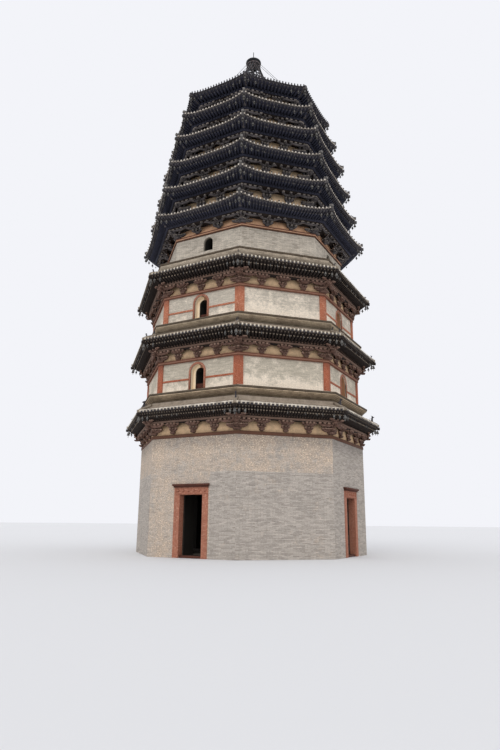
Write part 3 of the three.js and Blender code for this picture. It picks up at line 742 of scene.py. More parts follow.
def cross_arm(length, height, thickness):
    """An arm along the wall, shaped like a boat: flat below its middle and rising to its ends."""
    share = np.array([-1, -0.86, -0.6, -0.3, 0.3, 0.6, 0.86, 1])
    under = height * np.array([0.86, 0.6, 0.28, 0, 0, 0.28, 0.6, 0.86])
    return bar(share * length / 2, under, height, thickness / 2, 0)


def nose(reach, height, thickness, beak):
    """An arm out of the wall. With a beak it ends in a long point that hooks down."""
    if beak:
        run = -np.array([-0.15, reach * 0.7, reach, reach + beak * 0.5, reach + beak])
        return bar(run, height * np.array([0, 0, 0.1, 0.0, -0.35]), height * np.array([1, 1, 1, 0.62, -0.2]),
                   thickness / 2 * np.array([1, 1, 0.95, 0.8, 0.6]), 1)
    run = -np.array([-0.15, reach - 0.18, reach - 0.07, reach])
    return bar(run, height * np.array([0, 0, 0.22, 0.6]), height, thickness / 2, 1)


print("a block has", len(block(0.3, 0.2)[0]), "points, a cross arm", len(cross_arm(1.0, 0.2, 0.1)[0]))

# %% [markdown]
# ## Bracket sets
# A set on the wall and a set at a corner share out their height in the same way, and both end their
# noses in a small block. So these two steps are helpers, and each kind of set only says where its
# arms go and how far the noses reach.

# %% Sets on the walls and at the corners
ARM_THICKNESS = 0.1
SMALL_BLOCK = 0.15
FOOT_SHARE = 0.2
ARM_SHARE = 0.64
BEAK = 0.16


def share_out(height, tiers, small_block):
    """Height of the foot block, rise of a tier, height of its arm, and the small block above that."""
    foot_height = FOOT_SHARE * height
    rise = (height - foot_height) / tiers
    arm_height = ARM_SHARE * rise
    return foot_height, rise, arm_height, block(small_block, rise - arm_height)


def point_out(arms, blocks, cushion, far, heading, low, arm_height, thickness, beak=0.0):
    """Adds a nose towards a heading in degrees, with a small block near its tip."""
    tip = placed(cushion, [[0, 0.08 - far, arm_height]])
    for shapes, shape in ((arms, nose(far, arm_height, thickness, beak)), (blocks, tip)):
        shapes.append(placed(turned(shape, radians(heading)), [[0, 0, low]]))


def bracket_set(height, reach, lengths, headings=(0,), foot=0.27, outermost=True):
    """A tier for each length, which share the height above the foot block. A tier has a cross arm of
    that length with three small blocks, and a nose towards each heading. The last length is that of
    the outermost arm, at the full reach and level with the top tier. Arms and small blocks are given
    apart, because the small blocks are painted paler, a painted highlight on the set."""
    tiers = len(lengths) - 1
    foot_height, rise, arm_height, cushion = share_out(height, tiers, SMALL_BLOCK)
    arms = [placed(block(foot, foot_height), [[0, -0.1, 0]])]
    blocks = []
    for tier, length in enumerate(lengths if outermost else lengths[:-1]):
        low = foot_height + min(tier, tiers - 1) * rise
        back = 0.09 + (reach - 0.09) * tier / tiers
        arms.append(placed(cross_arm(length, arm_height, ARM_THICKNESS), [[0, -back, low]]))
        spread = [[x * (length - SMALL_BLOCK) / 2, -back, low + arm_height] for x in (-1, 0, 1)]
        blocks.append(placed(cushion, spread))
    for tier in range(tiers):
        for heading in headings:
            far = reach * (tier + 1) / tiers / cos(radians(heading)) * (1 if heading == 0 else 0.95)
            point_out(arms, blocks, cushion, far, heading, foot_height + tier * rise, arm_height,
                      ARM_THICKNESS, BEAK if tier else 0)
    return combine(arms), combine(blocks)


def corner_set(height, reach, lengths):
    """The set below a hip: noses fan out to five sides, and each tier has a cross arm along both of
    the walls that meet there. Arms and small blocks are again given apart."""
    tiers = len(lengths)
    foot_height, rise, arm_height, cushion = share_out(height, tiers, SMALL_BLOCK * 1.15)
    arms = [placed(block(0.5, foot_height), [[0, 0.0, 0]])]
    blocks = []
    for tier, length in enumerate(lengths):
        low = foot_height + tier * rise
        back = -0.1 - reach * tier / tiers
        arm = placed(cross_arm(length, arm_height, ARM_THICKNESS * 1.2), [[0, back, low]])
        spread = [[x * (length - SMALL_BLOCK) / 2, back, low + arm_height] for x in (-1, -0.33, 0.33, 1)]
        for side in (-1, 1):
            aside = [[side * length * 0.42, 0, 0]]
            arms.append(turned(placed(arm, aside), side * HALF))
            blocks.append(turned(placed(placed(cushion, spread), aside), side * HALF))
        for heading in (-67.5, -22.5, 0, 22.5, 67.5):
            share, thickness = (0.75, 1.6) if heading == 0 else (0.6, 1.1)
            point_out(arms, blocks, cushion, reach * (tier + 1) / tiers * share, heading, low, arm_height,
                      ARM_THICKNESS * thickness)
    return combine(arms), combine(blocks)


LOW_LENGTHS = (0.56, 0.98, 0.62)
HIGH_LENGTHS = (0.6, 1.1, 0.66)
LOW_CORNER_LENGTHS = (0.7, 1.05)
HIGH_CORNER_LENGTHS = (0.75, 1.2)
CLUSTER_LENGTHS = (0.5, 1.2, 0.9)
print("a low set has", sum(len(part[0]) for part in bracket_set(0.7, 0.5, LOW_LENGTHS)), "points")

# %% [markdown]
# ## Beam, plaster and board
# Between wall and eave runs a band: a painted beam below, plaster between the bracket sets, and the
# board that the sets carry. The zone of each storey is a small record, with its levels read from the
# frame wherever a node gives them. ZONES lists a storey's name, its beam's level above the foot, the
# heights of beam and board, the radii of plaster and room, and how far the painted beam is lowered.
# The lines are thin painted mouldings: middle above the zone's foot, half height and paint.

# %% The bracket zones
HIGH_WALLS = [6.45, 6.08, 5.70, 5.30, 4.85]
HIGH_NAMES = ["fifth", "sixth", "seventh", "eighth", "ninth"]
HIGH_THICKNESS = 0.40
ZONES = [("ground", 0.0, 0.21, 0.26, 7.90, ROOM, 0.05), ("second", 0.0, 0.0, 0.25, 7.70, ROOM, 0.0),
         ("third", 0.0, 0.0, 0.18, 7.50, ROOM, 0.0), ("fourth", 0.0, 0.13, 0.15, 6.77, 5.3, 0.13)]
ZONES += [(name, 0.25, 0.20, 0.15, wall, wall - HIGH_THICKNESS, 0.0)
          for name, wall in zip(HIGH_NAMES, HIGH_WALLS)]
FRAME_LINES = [(-0.04, 0.04, line_paint), (-0.105, 0.025, pale_line), (-0.17, 0.04, line_paint)]
FOURTH_LINES = [(0.07, 0.04, line_paint), (0.0, 0.03, peach_line), (-0.08, 0.05, beam_paint)]
zones = []
for name, beam_level, beam, board, plaster, room, drop in ZONES:
    high = name in HIGH_NAMES
    node = f"{name}_storey" if high else f"{name}_brackets"
    look = HIGH if high or name == "fourth" else LOW
    beam_foot = foot_of(node) + beam_level
    beam_radius = plaster + (0.12 if high else 0.14)
    zone = SimpleNamespace(name=name, node=node, look=look, board=board, plaster=plaster, room=room,
                           drop=drop, foot=foot_of(node), top=head_of(node), beam_foot=beam_foot,
                           beam_top=beam_foot + beam, beam_radius=beam_radius, lines=[],
                           line_radius=beam_radius + 0.02, board_radius=corner_radius(node),
                           paint=look.plaster)
    if name in ("second", "third"):
        zone.lines = FRAME_LINES
        zone.line_radius = corner_radius(f"{name}_pillar_frame") + 0.02
    zones.append(zone)
zones[3].paint, zones[3].lines = peach_plaster, FOURTH_LINES


def beam_and_plaster(zone):
    """Closed rings for the wall, the beam and the board, one inside another's edge."""
    board, edge = zone.look.board, zone.board_radius
    board_foot = zone.top - zone.board
    purlin_foot = board_foot + 0.02
    wall = ring(oblong(zone.room, zone.plaster, zone.foot, purlin_foot))
    ceiling = ring(oblong(zone.room, edge - 0.16, board_foot, zone.top))
    purlin = ring(bevelled(edge - 0.2, edge - 0.04, purlin_foot, purlin_foot + 0.14, 0.04))
    lip = ring(bevelled(edge - 0.2, edge, zone.top - 0.07, zone.top, 0.01))
    painted = [(wall, zone.paint), (ceiling, low_rafter), (purlin, board), (lip, board)]
    if zone.beam_top > zone.beam_foot:
        painted.append((ring(bevelled(zone.plaster - 0.1, zone.beam_radius, zone.beam_foot - zone.drop,
                                      zone.beam_top - zone.drop)), beam_paint))
    for middle, half, finish in zone.lines:
        line = bevelled(zone.line_radius - 0.06, zone.line_radius, zone.foot + middle - half,
                        zone.foot + middle + half, 0.01)
        painted.append((ring(line), finish))
    make_piece(f"{zone.name}_beam_and_plaster", painted, [zone.node])


for zone in zones:
    beam_and_plaster(zone)

# %% [markdown]
# ## The sets in their places
# The three lowest zones have three sets on a side, with arms square to the wall, and a small cluster
# below each corner of their board. From the fourth eave up there are two sets, and they are richer:
# their noses also point half left and half right.

# %% Bracket sets on all sides
DIAGONALS = (-45, 0, 45)


def all_sets(zone):
    low = zone.look is LOW
    board_foot = zone.top - zone.board
    height = board_foot - zone.beam_top + 0.01
    corner_reach = zone.board_radius - zone.plaster
    reach = corner_reach * cos(HALF) - 0.2
    half_side = zone.plaster * sin(HALF)
    cluster_foot = board_foot - 0.24
    if low:
        one = bracket_set(height, reach, LOW_LENGTHS)
        corner = corner_set(height, corner_reach, LOW_CORNER_LENGTHS)
        cluster = bracket_set(zone.top - cluster_foot - 0.02, 0.14, CLUSTER_LENGTHS, DIAGONALS, 0.3)
    else:
        one = bracket_set(height, reach, HIGH_LENGTHS, DIAGONALS, outermost=False)
        corner = corner_set(height, corner_reach, HIGH_CORNER_LENGTHS)
    spots = [[x, -zone.plaster * cos(HALF), zone.beam_top]
             for x in np.linspace(-half_side, half_side, 5 if low else 4)[1:-1]]
    painted = []
    for kind, finish in enumerate((zone.look.bracket, zone.look.block)):
        corners = [placed(corner[kind], [[0, -zone.plaster, zone.beam_top]])]
        if low:
            corners.append(placed(cluster[kind], [[0, -zone.board_radius + 0.16, cluster_foot]]))
        row = turned(placed(one[kind], spots), FACE_TURNS)
        painted.append((combine([row, turned(combine(corners), CORNER_TURNS)]), finish))
    make_piece(f"{zone.name}_bracket_sets", painted)


for zone in zones:
    all_sets(zone)

# %% [markdown]
# ## The eaves
# Each eave is a bed of boards with rafters below and clay tiles above. The three lowest are short and
# straight, below a brick ledge. From the fourth up they sweep to their corners. The list keeps each
# one's edge level, the slope as (radius, height) pairs, and its bend. LOW_SLOPES lists the edge
# level, the radius and height at the slope's head, and the level of the mortar kerb behind it.

# %% Eave records
THRUST = 0.08
LIFT = 0.26
TOP_LIFT = 0.12
REACH = 0.75
SOFFIT = 0.30
RISE = 0.75
EDGE_HALF = 0.09
ROOF_ROOM = 36.6
ROOF_SLOPE = [(4.4, 34.85), (2.7, 36.1), (1.3, 37.45)]
LOW_SLOPES = {"first": (8.69, 8.25, 9.22, 9.39), "second": (13.49, 8.15, 13.98, 14.06),
              "third": (18.13, 8.15, 18.46, 18.56)}
eaves = []
for (name, (edge, head_radius, head, kerb)), zone in zip(LOW_SLOPES.items(), zones):
    node = f"{name}_eave"
    tip = corner_radius(node)
    eaves.append(SimpleNamespace(name=name, node=node, zone=zone, look=LOW, low=True, roof=False, edge=edge,
                                 rim=tip, slope=[(tip, edge + 0.08), (head_radius, head)], bend=STRAIGHT,
                                 steps=1, room=ROOM, top=head_of(node), kerb=kerb))
for i, (name, zone) in enumerate(zip(["fourth"] + HIGH_NAMES, zones[3:])):
    roof = name == "ninth"
    node = "ninth_eave_and_roof" if roof else f"{name}_eave"
    tip = corner_radius(node)
    edge = foot_of(node) + SOFFIT
    rim = tip - THRUST
    wall = HIGH_WALLS[-1 if roof else i]
    upper = ROOF_SLOPE if roof else [(wall + 0.15, edge + RISE)]
    eaves.append(SimpleNamespace(name=name, node=node, zone=zone, look=TOP if roof else HIGH, low=False,
                                 roof=roof, edge=edge, rim=rim, slope=[(rim, edge + EDGE_HALF)] + upper,
                                 bend=Bend(tip - REACH, tip, THRUST, TOP_LIFT if roof else LIFT), steps=12,
                                 room=wall - HIGH_THICKNESS, top=upper[-1][1]))


def slope_height(eave, depth):
    """Height of the tile bed at a depth from the axis: a polynomial through the slope's corners."""
    radius, height = np.array(eave.slope).T
    curve = np.polyfit(radius * cos(HALF), height, len(radius) - 1)
    return np.polyval(curve, depth)


def soffit_height(eave, depth):
    """The boards below the tiles rise from the top of the bracket board to the foot of the edge."""
    inner = eave.zone.board_radius * cos(HALF)
    outer = eave.rim * cos(HALF)
    foot = eave.edge - EDGE_HALF
    return eave.zone.top + (foot - eave.zone.top) * (depth - inner) / (outer - inner)


def eave_ring(eave, profile):
    return ring(profile, eave.bend, eave.steps)


print("eaves", [(eave.name, round(eave.rim, 2), round(eave.edge, 2)) for eave in eaves])

# %% [markdown]
# ## Bed and edge board
# The bed is a closed ring of boards between the soffit and the tiles, carried along the bent edge
# in small steps. A thin board stands on the rafters' ends and stops the lowest tiles.

# %% Eave beds
BOARDING = 0.10
BEHIND_LEDGE = 7.85


def eave_bed(eave):
    zone, look, rim = eave.zone, eave.look, eave.rim
    depths = np.linspace(rim, eave.slope[-1][0], 12 if eave.roof else 3)
    top = [(radius, float(slope_height(eave, radius * cos(HALF)))) for radius in depths]
    rim_depth = (rim - 0.06) * cos(HALF)
    profile = [(zone.board_radius - 0.3, zone.top), (zone.board_radius - 0.3, zone.top + BOARDING - 0.06),
               (rim - 0.06, float(soffit_height(eave, rim_depth)) + BOARDING - 0.02)] + top
    if eave.roof:
        profile += [(0.3, eave.top), (0.3, ROOF_ROOM), (eave.room, zone.top)]
    else:
        if eave.low:
            kerb = eave.kerb
            profile += [(eave.slope[-1][0], kerb), (BEHIND_LEDGE, kerb), (BEHIND_LEDGE, eave.top)]
        profile += [(eave.room, eave.top), (eave.room, zone.top)]
    edge_foot = eave.edge - 0.05
    board = bevelled(rim - 0.09, rim - 0.03, edge_foot, edge_foot + 0.1, 0.008)
    inner_end, outer_end = zone.board_radius - 0.28, rim - 0.08
    inner_foot = zone.top + 0.02
    outer_foot = float(soffit_height(eave, outer_end * cos(HALF))) + 0.06
    soffit = [(inner_end, inner_foot), (outer_end, outer_foot), (outer_end, outer_foot + 0.02),
              (inner_end, inner_foot + 0.02)]
    painted = [(eave_ring(eave, profile), look.bed), (eave_ring(eave, board), look.rafter),
               (eave_ring(eave, soffit), look.soffit)]
    make_piece(f"{eave.name}_eave_bed", painted, [eave.node])


for eave in eaves:
    eave_bed(eave)

# %% [markdown]
# ## Rafters
# Two rows show from below: round rafters that reach ROUND_SHARE of the way out, and square flying
# rafters that carry the edge. They fan out like spokes, because they stand at equal shares of a side
# at every depth. Each is a short straight bar between two bent points.

# %% Rafters
RAFTER_SPACING = {"first": 0.187, "second": 0.225, "third": 0.236, "fourth": 0.21, "fifth": 0.22,
                  "sixth": 0.228, "seventh": 0.245, "eighth": 0.257, "ninth": 0.28}
ROUND_SHARE = 0.66


def spokes(eave, inner, outer, size, sides, raise_by):
    """Bars between two corner radii at equal shares u of the side. Each end's outline is a regular
    polygon in the upright plane across the bar, its centre raised above the soffit line."""
    count = int(2 * eave.rim * sin(HALF) / RAFTER_SPACING[eave.name])
    u = (np.arange(count) + 0.5) / count * 2 - 1
    depth = np.array([inner, outer])[None, :] * cos(HALF) + 0 * u[:, None]
    height = soffit_height(eave, depth) + raise_by
    centre = eave.bend.place(depth * u[:, None] * tan(HALF), depth, height)
    angle = (np.arange(sides) + 0.5) * 2 * pi / sides
    radius = size / 2 / cos(pi / sides)
    outline = np.stack([radius * np.cos(angle), 0 * angle, radius * np.sin(angle)], -1)
    return turned(loft(centre[:, :, None, :] + outline), FACE_TURNS)


def eave_rafters(eave):
    board, rim, look = eave.zone.board_radius, eave.rim, eave.look
    stop = board + ROUND_SHARE * (rim - board)
    painted = [(spokes(eave, stop - 0.1, rim - 0.03, 0.085, 4, 0.01), look.rafter),
               (spokes(eave, board - 0.15, stop, 0.12, 6, -0.03), look.around),
               (spokes(eave, rim - 0.03, rim - 0.018, 0.08, 4, 0.01), look.rafter_end),
               (spokes(eave, stop, stop + 0.012, 0.11, 6, -0.03), look.round_end)]
    make_piece(f"{eave.name}_eave_rafters", painted)


for eave in eaves:
    eave_rafters(eave)

# %% [markdown]
# ## Clay tiles
# Tiles lie in straight rows, square to the edge: shallow pans with half-round rolls over their
# joints. A row ends where it meets the hip. Rolls are half circles carried up the slope, a bit
# narrower at the upper end of each tile, so the joints show as steps. A round end plate closes each
# roll, and a pointed drip hangs from each pan. On the low eaves all but the lowest tile has been
# covered with mortar. From the fourth eave up a small knob stands on every second roll's lowest
# tile, and on the top roof on every one.

# %% Tile rows
ROLL_RADIUS = 0.072
TILE_LENGTH = 0.3
TILE_SPACING = 0.255
TOP_TILE_SPACING = 0.238
MORTARED = 0.3
NARROWED = 0.84


def rows_of(eave, shift):
    """Positions along a side, and for each the depth where the row stops: at the slope's head, or
    sooner at the hip, where the depth is the position divided by tan(22.5 degrees)."""
    half = eave.rim * sin(HALF)
    count = int(round(2 * half / (TOP_TILE_SPACING if eave.roof else TILE_SPACING)))
    along = (np.arange(count + (shift == 0)) + shift) * 2 * half / count - half
    head = eave.rim - MORTARED if eave.low else eave.slope[-1][0]
    stop = np.maximum(head * cos(HALF), np.abs(along) / tan(HALF) + 0.03)
    keep = stop < eave.rim * cos(HALF) - 0.05
    return along[keep], stop[keep]


def tile_run(eave, along, stop, across, upright):
    """Carries a section up the slope, two stations a tile. Rows are grouped by their number of
    tiles, so that each group is one array of rows, stations and outline points."""
    outer = eave.rim * cos(HALF) + 0.02
    tiles = np.maximum(1, np.ceil((outer - stop) / TILE_LENGTH)).astype(int)
    shapes = []
    for n in np.unique(tiles):
        a, s = along[tiles == n, None], stop[tiles == n, None]
        joints = np.linspace(0, 1, n + 1)
        share = np.stack([joints[:-1], joints[1:]], -1).ravel()[None, :]
        size = np.tile([1.0, NARROWED], n)[None, :, None]
        depth = outer + (s - outer) * share
        height = slope_height(eave, depth)
        points = eave.bend.place(a[..., None] + across * size, depth[..., None] + 0 * across,
                                 height[..., None] + upright * size)
        shapes.append(loft(points))
    return combine(shapes)


def at_edge(eave, shape, along, drop):
    """Sets a small shape at the edge for each position along the side, on all eight sides."""
    depth = eave.rim * cos(HALF) + 0.03 + 0 * along
    spots = eave.bend.place(along, depth, eave.slope[0][1] + drop + 0 * along)
    return turned(placed(shape, spots), FACE_TURNS)


def end_plate(wide, tall):
    """An oval disc with a raised middle."""
    angle = circle(8)
    face = np.stack([wide * np.cos(angle), 0 * angle, tall * np.sin(angle)], -1)
    return loft(np.stack([face + [0, 0.02, 0], face, face * 0.75 - [0, 0.012, 0]]))


def drip_tile():
    """A thin plate with an arched top, whose lower edge comes to a point."""
    x = np.linspace(-0.07, 0.07, 5)
    lower = -0.03 - 0.10 * (1 - np.abs(x / 0.07) ** 1.2)
    upper = 0.03 - 0.02 * (1 - (x / 0.07) ** 2)
    edges = [(0.012, upper), (-0.004, upper), (-0.012, lower), (0.004, lower)]
    return loft(np.stack([np.stack([x, 0 * x + depth, height], -1) for depth, height in edges], 1))


PAN_ACROSS = np.array([-0.095, -0.04, 0.04, 0.095, 0.08, -0.08])
PAN_UPRIGHT = np.array([0.035, 0.012, 0.012, 0.035, -0.01, -0.01])
ROLL_ANGLE = np.linspace(0, pi, 6)
ROLL_ACROSS = ROLL_RADIUS * np.cos(ROLL_ANGLE)
ROLL_UPRIGHT = ROLL_RADIUS * 1.25 * np.sin(ROLL_ANGLE) - 0.004
KNOB = revolve([(0.02, 0.0), (0.05, 0.02), (0.055, 0.05), (0.03, 0.09), (0.008, 0.10)], 6)


def eave_tiles(eave):
    look = eave.look
    rolls, roll_stops = rows_of(eave, 0.5)
    pans, pan_stops = rows_of(eave, 0)
    tiles = combine([tile_run(eave, rolls, roll_stops, ROLL_ACROSS, ROLL_UPRIGHT),
                     tile_run(eave, pans, pan_stops, PAN_ACROSS, PAN_UPRIGHT)])
    disc = end_plate(0.058, 0.074) if eave.low else end_plate(0.055, 0.07)
    painted = [(turned(tiles, FACE_TURNS), look.tile), (at_edge(eave, disc, rolls, 0.03), look.edge),
               (at_edge(eave, drip_tile(), pans, 0.0), look.drip)]
    if not eave.low:
        knob_rows = rolls if eave.roof else rolls[::2]
        painted.append((at_edge(eave, KNOB, knob_rows, ROLL_RADIUS), look.knob))
    if eave.name == "first":
        rim, level = eave.rim + 0.03, eave.slope[0][1]
        bedding = [(rim - 0.05, level + 0.05), (rim, level + 0.05), (rim, level + 0.115),
                   (rim - 0.05, level + 0.125)]
        painted.append((eave_ring(eave, bedding), edge_lime))
    make_piece(f"{eave.name}_eave_tiles", painted)


for eave in eaves:
    eave_tiles(eave)

# %% [markdown]
# ## Hips, beasts and corner beams
# Where two slopes meet, a ridge of mortar and tiles covers the cut ends. Small clay beasts stand on
# it near its foot, and below it the corner beam reaches past the tiles. All are drawn on the plane
# of a corner, where -Y is the way out, and turned to the eight corners.

# %% Corners of the eaves
HIP_OUTLINE = np.array([[-0.11, -0.03], [0.11, -0.03], [0.1, 0.1], [0.055, 0.17], [-0.055, 0.17],
                        [-0.1, 0.1]])
USUAL_BEASTS = [(0.2, 0.3), (0.5, 0.3), (0.85, 0.3)]
BEASTS = {"first": [(0.4, 0.46)], "second": [(0.2, 0.28), (0.8, 0.28)], "third": [(0.2, 0.28)],
          "ninth": [(0.5, 0.12), (0.85, 0.12)]}


def hip_height(eave, radius):
    """On the hip the share to the corner is one, so the bend adds its thrust and lift in full."""
    bend = eave.bend
    depth = radius * cos(HALF)
    share = np.clip((depth - bend.inner) / (bend.outer - bend.inner), 0, None)
    return radius + bend.thrust * share, slope_height(eave, depth) + bend.lift * share


def beast(height):
    """A rearing body as a bent tube: half width, half depth, distance out and height at each
    station, from the paws up through the chest and neck to the muzzle, with a tail behind."""
    stations = np.array([[0.10, 0.16, 0.00, 0.00], [0.11, 0.17, 0.00, 0.12], [0.09, 0.13, 0.01, 0.30],
                         [0.08, 0.12, 0.03, 0.48], [0.075, 0.10, 0.03, 0.62], [0.09, 0.13, 0.08, 0.76],
                         [0.07, 0.09, 0.10, 0.90], [0.02, 0.03, 0.08, 1.00]])
    angle = circle(6)
    x = stations[:, :1] * np.cos(angle)
    y = -stations[:, 2:3] - stations[:, 1:2] * np.sin(angle)
    body = loft(np.stack([x, y, stations[:, 3:4] + 0 * x], -1))
    tail = bar([0.12, 0.22, 0.24, 0.16], [0.1, 0.25, 0.45, 0.62], [0.2, 0.36, 0.56, 0.7],
               [0.04, 0.04, 0.03, 0.01], 1)
    muzzle = bar([-0.16, -0.26, -0.3], [0.72, 0.74, 0.78], [0.84, 0.84, 0.82], [0.06, 0.05, 0.03], 1)
    horn = bar([-0.04, 0.03, 0.1], [0.86, 0.96, 1.04], [0.92, 1.01, 1.06], [0.02, 0.018, 0.008], 1)
    horns = placed(horn, [[-0.05, 0, 0], [0.05, 0, 0]])
    return scaled(scaled(combine([body, tail, muzzle, horns]), height), [1.2, 1.35, 1.0])


def eave_corners(eave):
    look, zone = eave.look, eave.zone
    inner = eave.slope[-1][0]
    radius, height = hip_height(eave, np.linspace(eave.rim - 0.02, inner, 16 if eave.roof else 7))
    outline = HIP_OUTLINE * [1, 0.45 if eave.roof else 1]
    ridge = loft(np.stack([outline[:, 0] + 0 * radius[:, None], -radius[:, None] + 0 * outline[:, 0],
                           height[:, None] + outline[:, 1]], -1))
    beasts = []
    for back, size in BEASTS.get(eave.name, USUAL_BEASTS):
        at, level = hip_height(eave, np.array([eave.rim - back]))
        if at[0] > inner:
            beasts.append(placed(beast(size), [[0, -float(at[0]), float(level[0]) + 0.08]]))
    out, level = float(radius[0]), float(height[0])
    cap_foot = -0.12 if eave.roof else -0.06 if eave.low else 0.08
    cap = placed(block(0.17, 0.16, 1.0), [[0, -out - 0.02, level + cap_foot]])
    painted = [(turned(combine([ridge, cap]), CORNER_TURNS), look.hip),
               (turned(combine(beasts), CORNER_TURNS), look.beast)]
    make_piece(f"{eave.name}_eave_hips", painted)
    board, top = zone.board_radius, zone.top
    eave.beam_out, eave.beam_foot = out, level - 0.3
    run = -np.array([board - 0.5, board + 0.1, out - 0.3, out - 0.02, out + 0.06])
    foot = eave.beam_foot
    under = [top - 0.02, top + 0.0, foot, foot + 0.05, foot + 0.12]
    crown = [top + 0.15, top + 0.2, foot + 0.2, foot + 0.22, foot + 0.2]
    beam = bar(run, under, crown, np.array([0.11, 0.11, 0.1, 0.1, 0.05]), 1)
    end = placed(block(0.17, 0.17, 1.0), [[0, -out - 0.06, foot + 0.02]])
    painted = [(turned(beam, CORNER_TURNS), look.corner_beam), (turned(end, CORNER_TURNS), look.beam_end)]
    make_piece(f"{eave.name}_corner_beams", painted)


for eave in eaves:
    eave_corners(eave)

# %% [markdown]
# ## Wind bells
# A bell hangs from each corner beam, two smaller ones on either side of it, and the smallest along
# the rest of the eave. Of these about half are left on the second and third eaves, and a third on
# the others. Which ones are left is drawn with a fixed seed, so every run gives the same tower.

# %% Bells
NEAR_CORNER = 2


def bell(size):
    """A hexagonal bell with a flared lip, an eye and a plate for the wind."""
    body = revolve([(0.12, 0.0), (0.2, -0.08), (0.3, -0.5), (0.42, -0.8), (0.36, -0.8), (0.05, -0.3)], 6)
    eye = revolve([(0.03, 0.95), (0.04, 0.1), (0.05, -0.02)], 4)
    plate = bar([-0.14, 0.14], [-1.35, -1.35], [-0.7, -0.7], [0.02, 0.02], 0)
    return scaled(combine([body, eye, plate]), size)


def eave_bells(eave, rng):
    """The smallest hang two rafters apart. Those near a corner have all been kept."""
    rim = eave.rim - 0.08
    half = rim * sin(HALF)
    along = np.arange(-half + 0.25, half - 0.2, 2 * RAFTER_SPACING[eave.name])
    depth = rim * cos(HALF) + 0 * along
    spots = eave.bend.place(along, depth, soffit_height(eave, depth) - 0.13)
    kept_share = 0.5 if eave.name in ("second", "third") else 0.3
    bells = []
    for angle in FACE_TURNS:
        kept = rng.random(len(along)) < kept_share
        kept[:NEAR_CORNER] = kept[-NEAR_CORNER:] = False
        bells.append(turned(placed(bell(0.11), spots[kept]), angle))
    near = np.concatenate([spots[:NEAR_CORNER], spots[-NEAR_CORNER:]])
    bells.append(turned(placed(bell(0.2), near), FACE_TURNS))
    large = placed(bell(0.28), [[0, -eave.beam_out + 0.02, eave.beam_foot - 0.03]])
    bells.append(turned(large, CORNER_TURNS))
    make_piece(f"{eave.name}_eave_bells", [(combine(bells), bell_bronze)])


bell_draws = np.random.default_rng(SEED)
for eave in eaves:
    eave_bells(eave, bell_draws)

# %% [markdown]
# ## Brick ledges
# Above each of the three straight eaves the masonry steps out in corbelled courses to carry a narrow
# ledge round the next storey. Each course is a step in one closed outline.

# %% Ledges
SHELF = 0.3
FLOOR_THICKNESS = 0.25
COURSES = 5


def brick_ledge(name, foot_radius, top_radius):
    """The skirt closes the gap between the lowest course and the mortar kerb of the eave."""
    kerb = LOW_SLOPES[name][3]
    node = f"{name}_ledge"
    foot, top = foot_of(node), head_of(node)
    slab, rim, floor_top = top - 0.13, top_radius - 0.05, top - 0.002
    skirt = ring([(BEHIND_LEDGE - 0.05, kerb - 0.02), (foot_radius, kerb - 0.02),
                  (foot_radius + 0.005, foot + 0.01), (BEHIND_LEDGE - 0.05, foot + 0.01)])
    levels = np.linspace(foot, slab, COURSES + 1)
    radii = foot_radius + (rim - foot_radius) * np.linspace(0.0, 1.0, COURSES) ** 1.15
    profile = [(ROOM, foot)]
    for low, high, radius in zip(levels[:-1], levels[1:], radii):
        profile += [(radius, low), (radius + 0.012, high - 0.01)]
    profile += [(rim, slab), (rim, floor_top), (ROOM + SHELF, floor_top),
                (ROOM + SHELF, top - FLOOR_THICKNESS), (ROOM, top - FLOOR_THICKNESS)]
    # The slab's edge gets the dark finish, a painted shadow below the slab.
    edge = ring(bevelled(top_radius - 0.3, top_radius, slab, top, 0.012))
    make_piece(f"{name}_ledge_courses", [(combine([ring(profile), skirt]), ledge_finishes[name]),
                                         (edge, ledge_edge)], [node])


brick_ledge("first", 8.05, 8.42)
brick_ledge("second", 8.00, 8.20)
brick_ledge("third", 8.03, 8.11)

# %% [markdown]
# ## Painted rims and frames of the windows
# The arched openings of the second and third storeys have a thin painted rim on the wall and a timber
# frame deep in the recess. Both are one outline, a small rectangle, carried up one side, round the
# arch and down the other. A limewashed plinth runs round the foot of the pillars.

# %% Window rims, frames and plinths
ARCH_STEPS = 12


def arch(half_width, foot, crown, width, near, far):
    """Carries a rectangle round an arch. Its path is a straight leg, a half circle and a leg. The
    outline spans from the outer edge inwards by the width, and from near to far in depth."""
    angle = np.linspace(pi, 0, ARCH_STEPS)
    spring = crown - half_width
    along = np.concatenate([[-1], np.cos(angle), [1]])
    lift = np.concatenate([[0], np.sin(angle), [0]])
    base = np.concatenate([[foot], spring + 0 * angle, [foot]])
    inner = half_width - width
    outline = [(half_width, near), (half_width, far), (inner, far), (inner, near)]
    return loft(np.stack([np.stack([along * size, -depth + 0 * along, base + lift * size], -1)
                          for size, depth in outline], 1))


def windows(storey, half_width, crown, wall_radius):
    """Rim and frame keep to the wall's face, and a low panel closes the foot of the recess."""
    foot = foot_of(f"{storey}_wall")
    face = wall_radius * cos(HALF)
    sill = foot + 0.15
    recess = half_width - 0.125
    rim = arch(half_width + 0.01, sill, crown + 0.01, 0.135, face + 0.045, face - 0.02)
    frame_ring = arch(recess, sill, crown - 0.125, 0.1, face - 0.4, face - 0.48)
    panel = placed(bar([-recess + 0.05, recess - 0.05], sill + np.zeros(2), foot + 0.6, 0.02, 0),
                   [[0, 0.44 - face, 0]])
    out = wall_radius + 0.12
    plinth = ring([(5.9, foot), (out, foot), (out, foot + 0.1), (out - 0.03, sill), (out - 0.16, sill)])
    make_piece(f"{storey}_window_rims", [(turned(rim, EVEN_FACES), red_paint)])
    make_piece(f"{storey}_window_frames", [(turned(combine([frame_ring, panel]), EVEN_FACES), dark_red)])
    make_piece(f"{storey}_plinth", [(plinth, plinth_wash)])


windows("second", 0.615, 11.91, 7.74)
windows("third", 0.600, 16.59, 7.54)

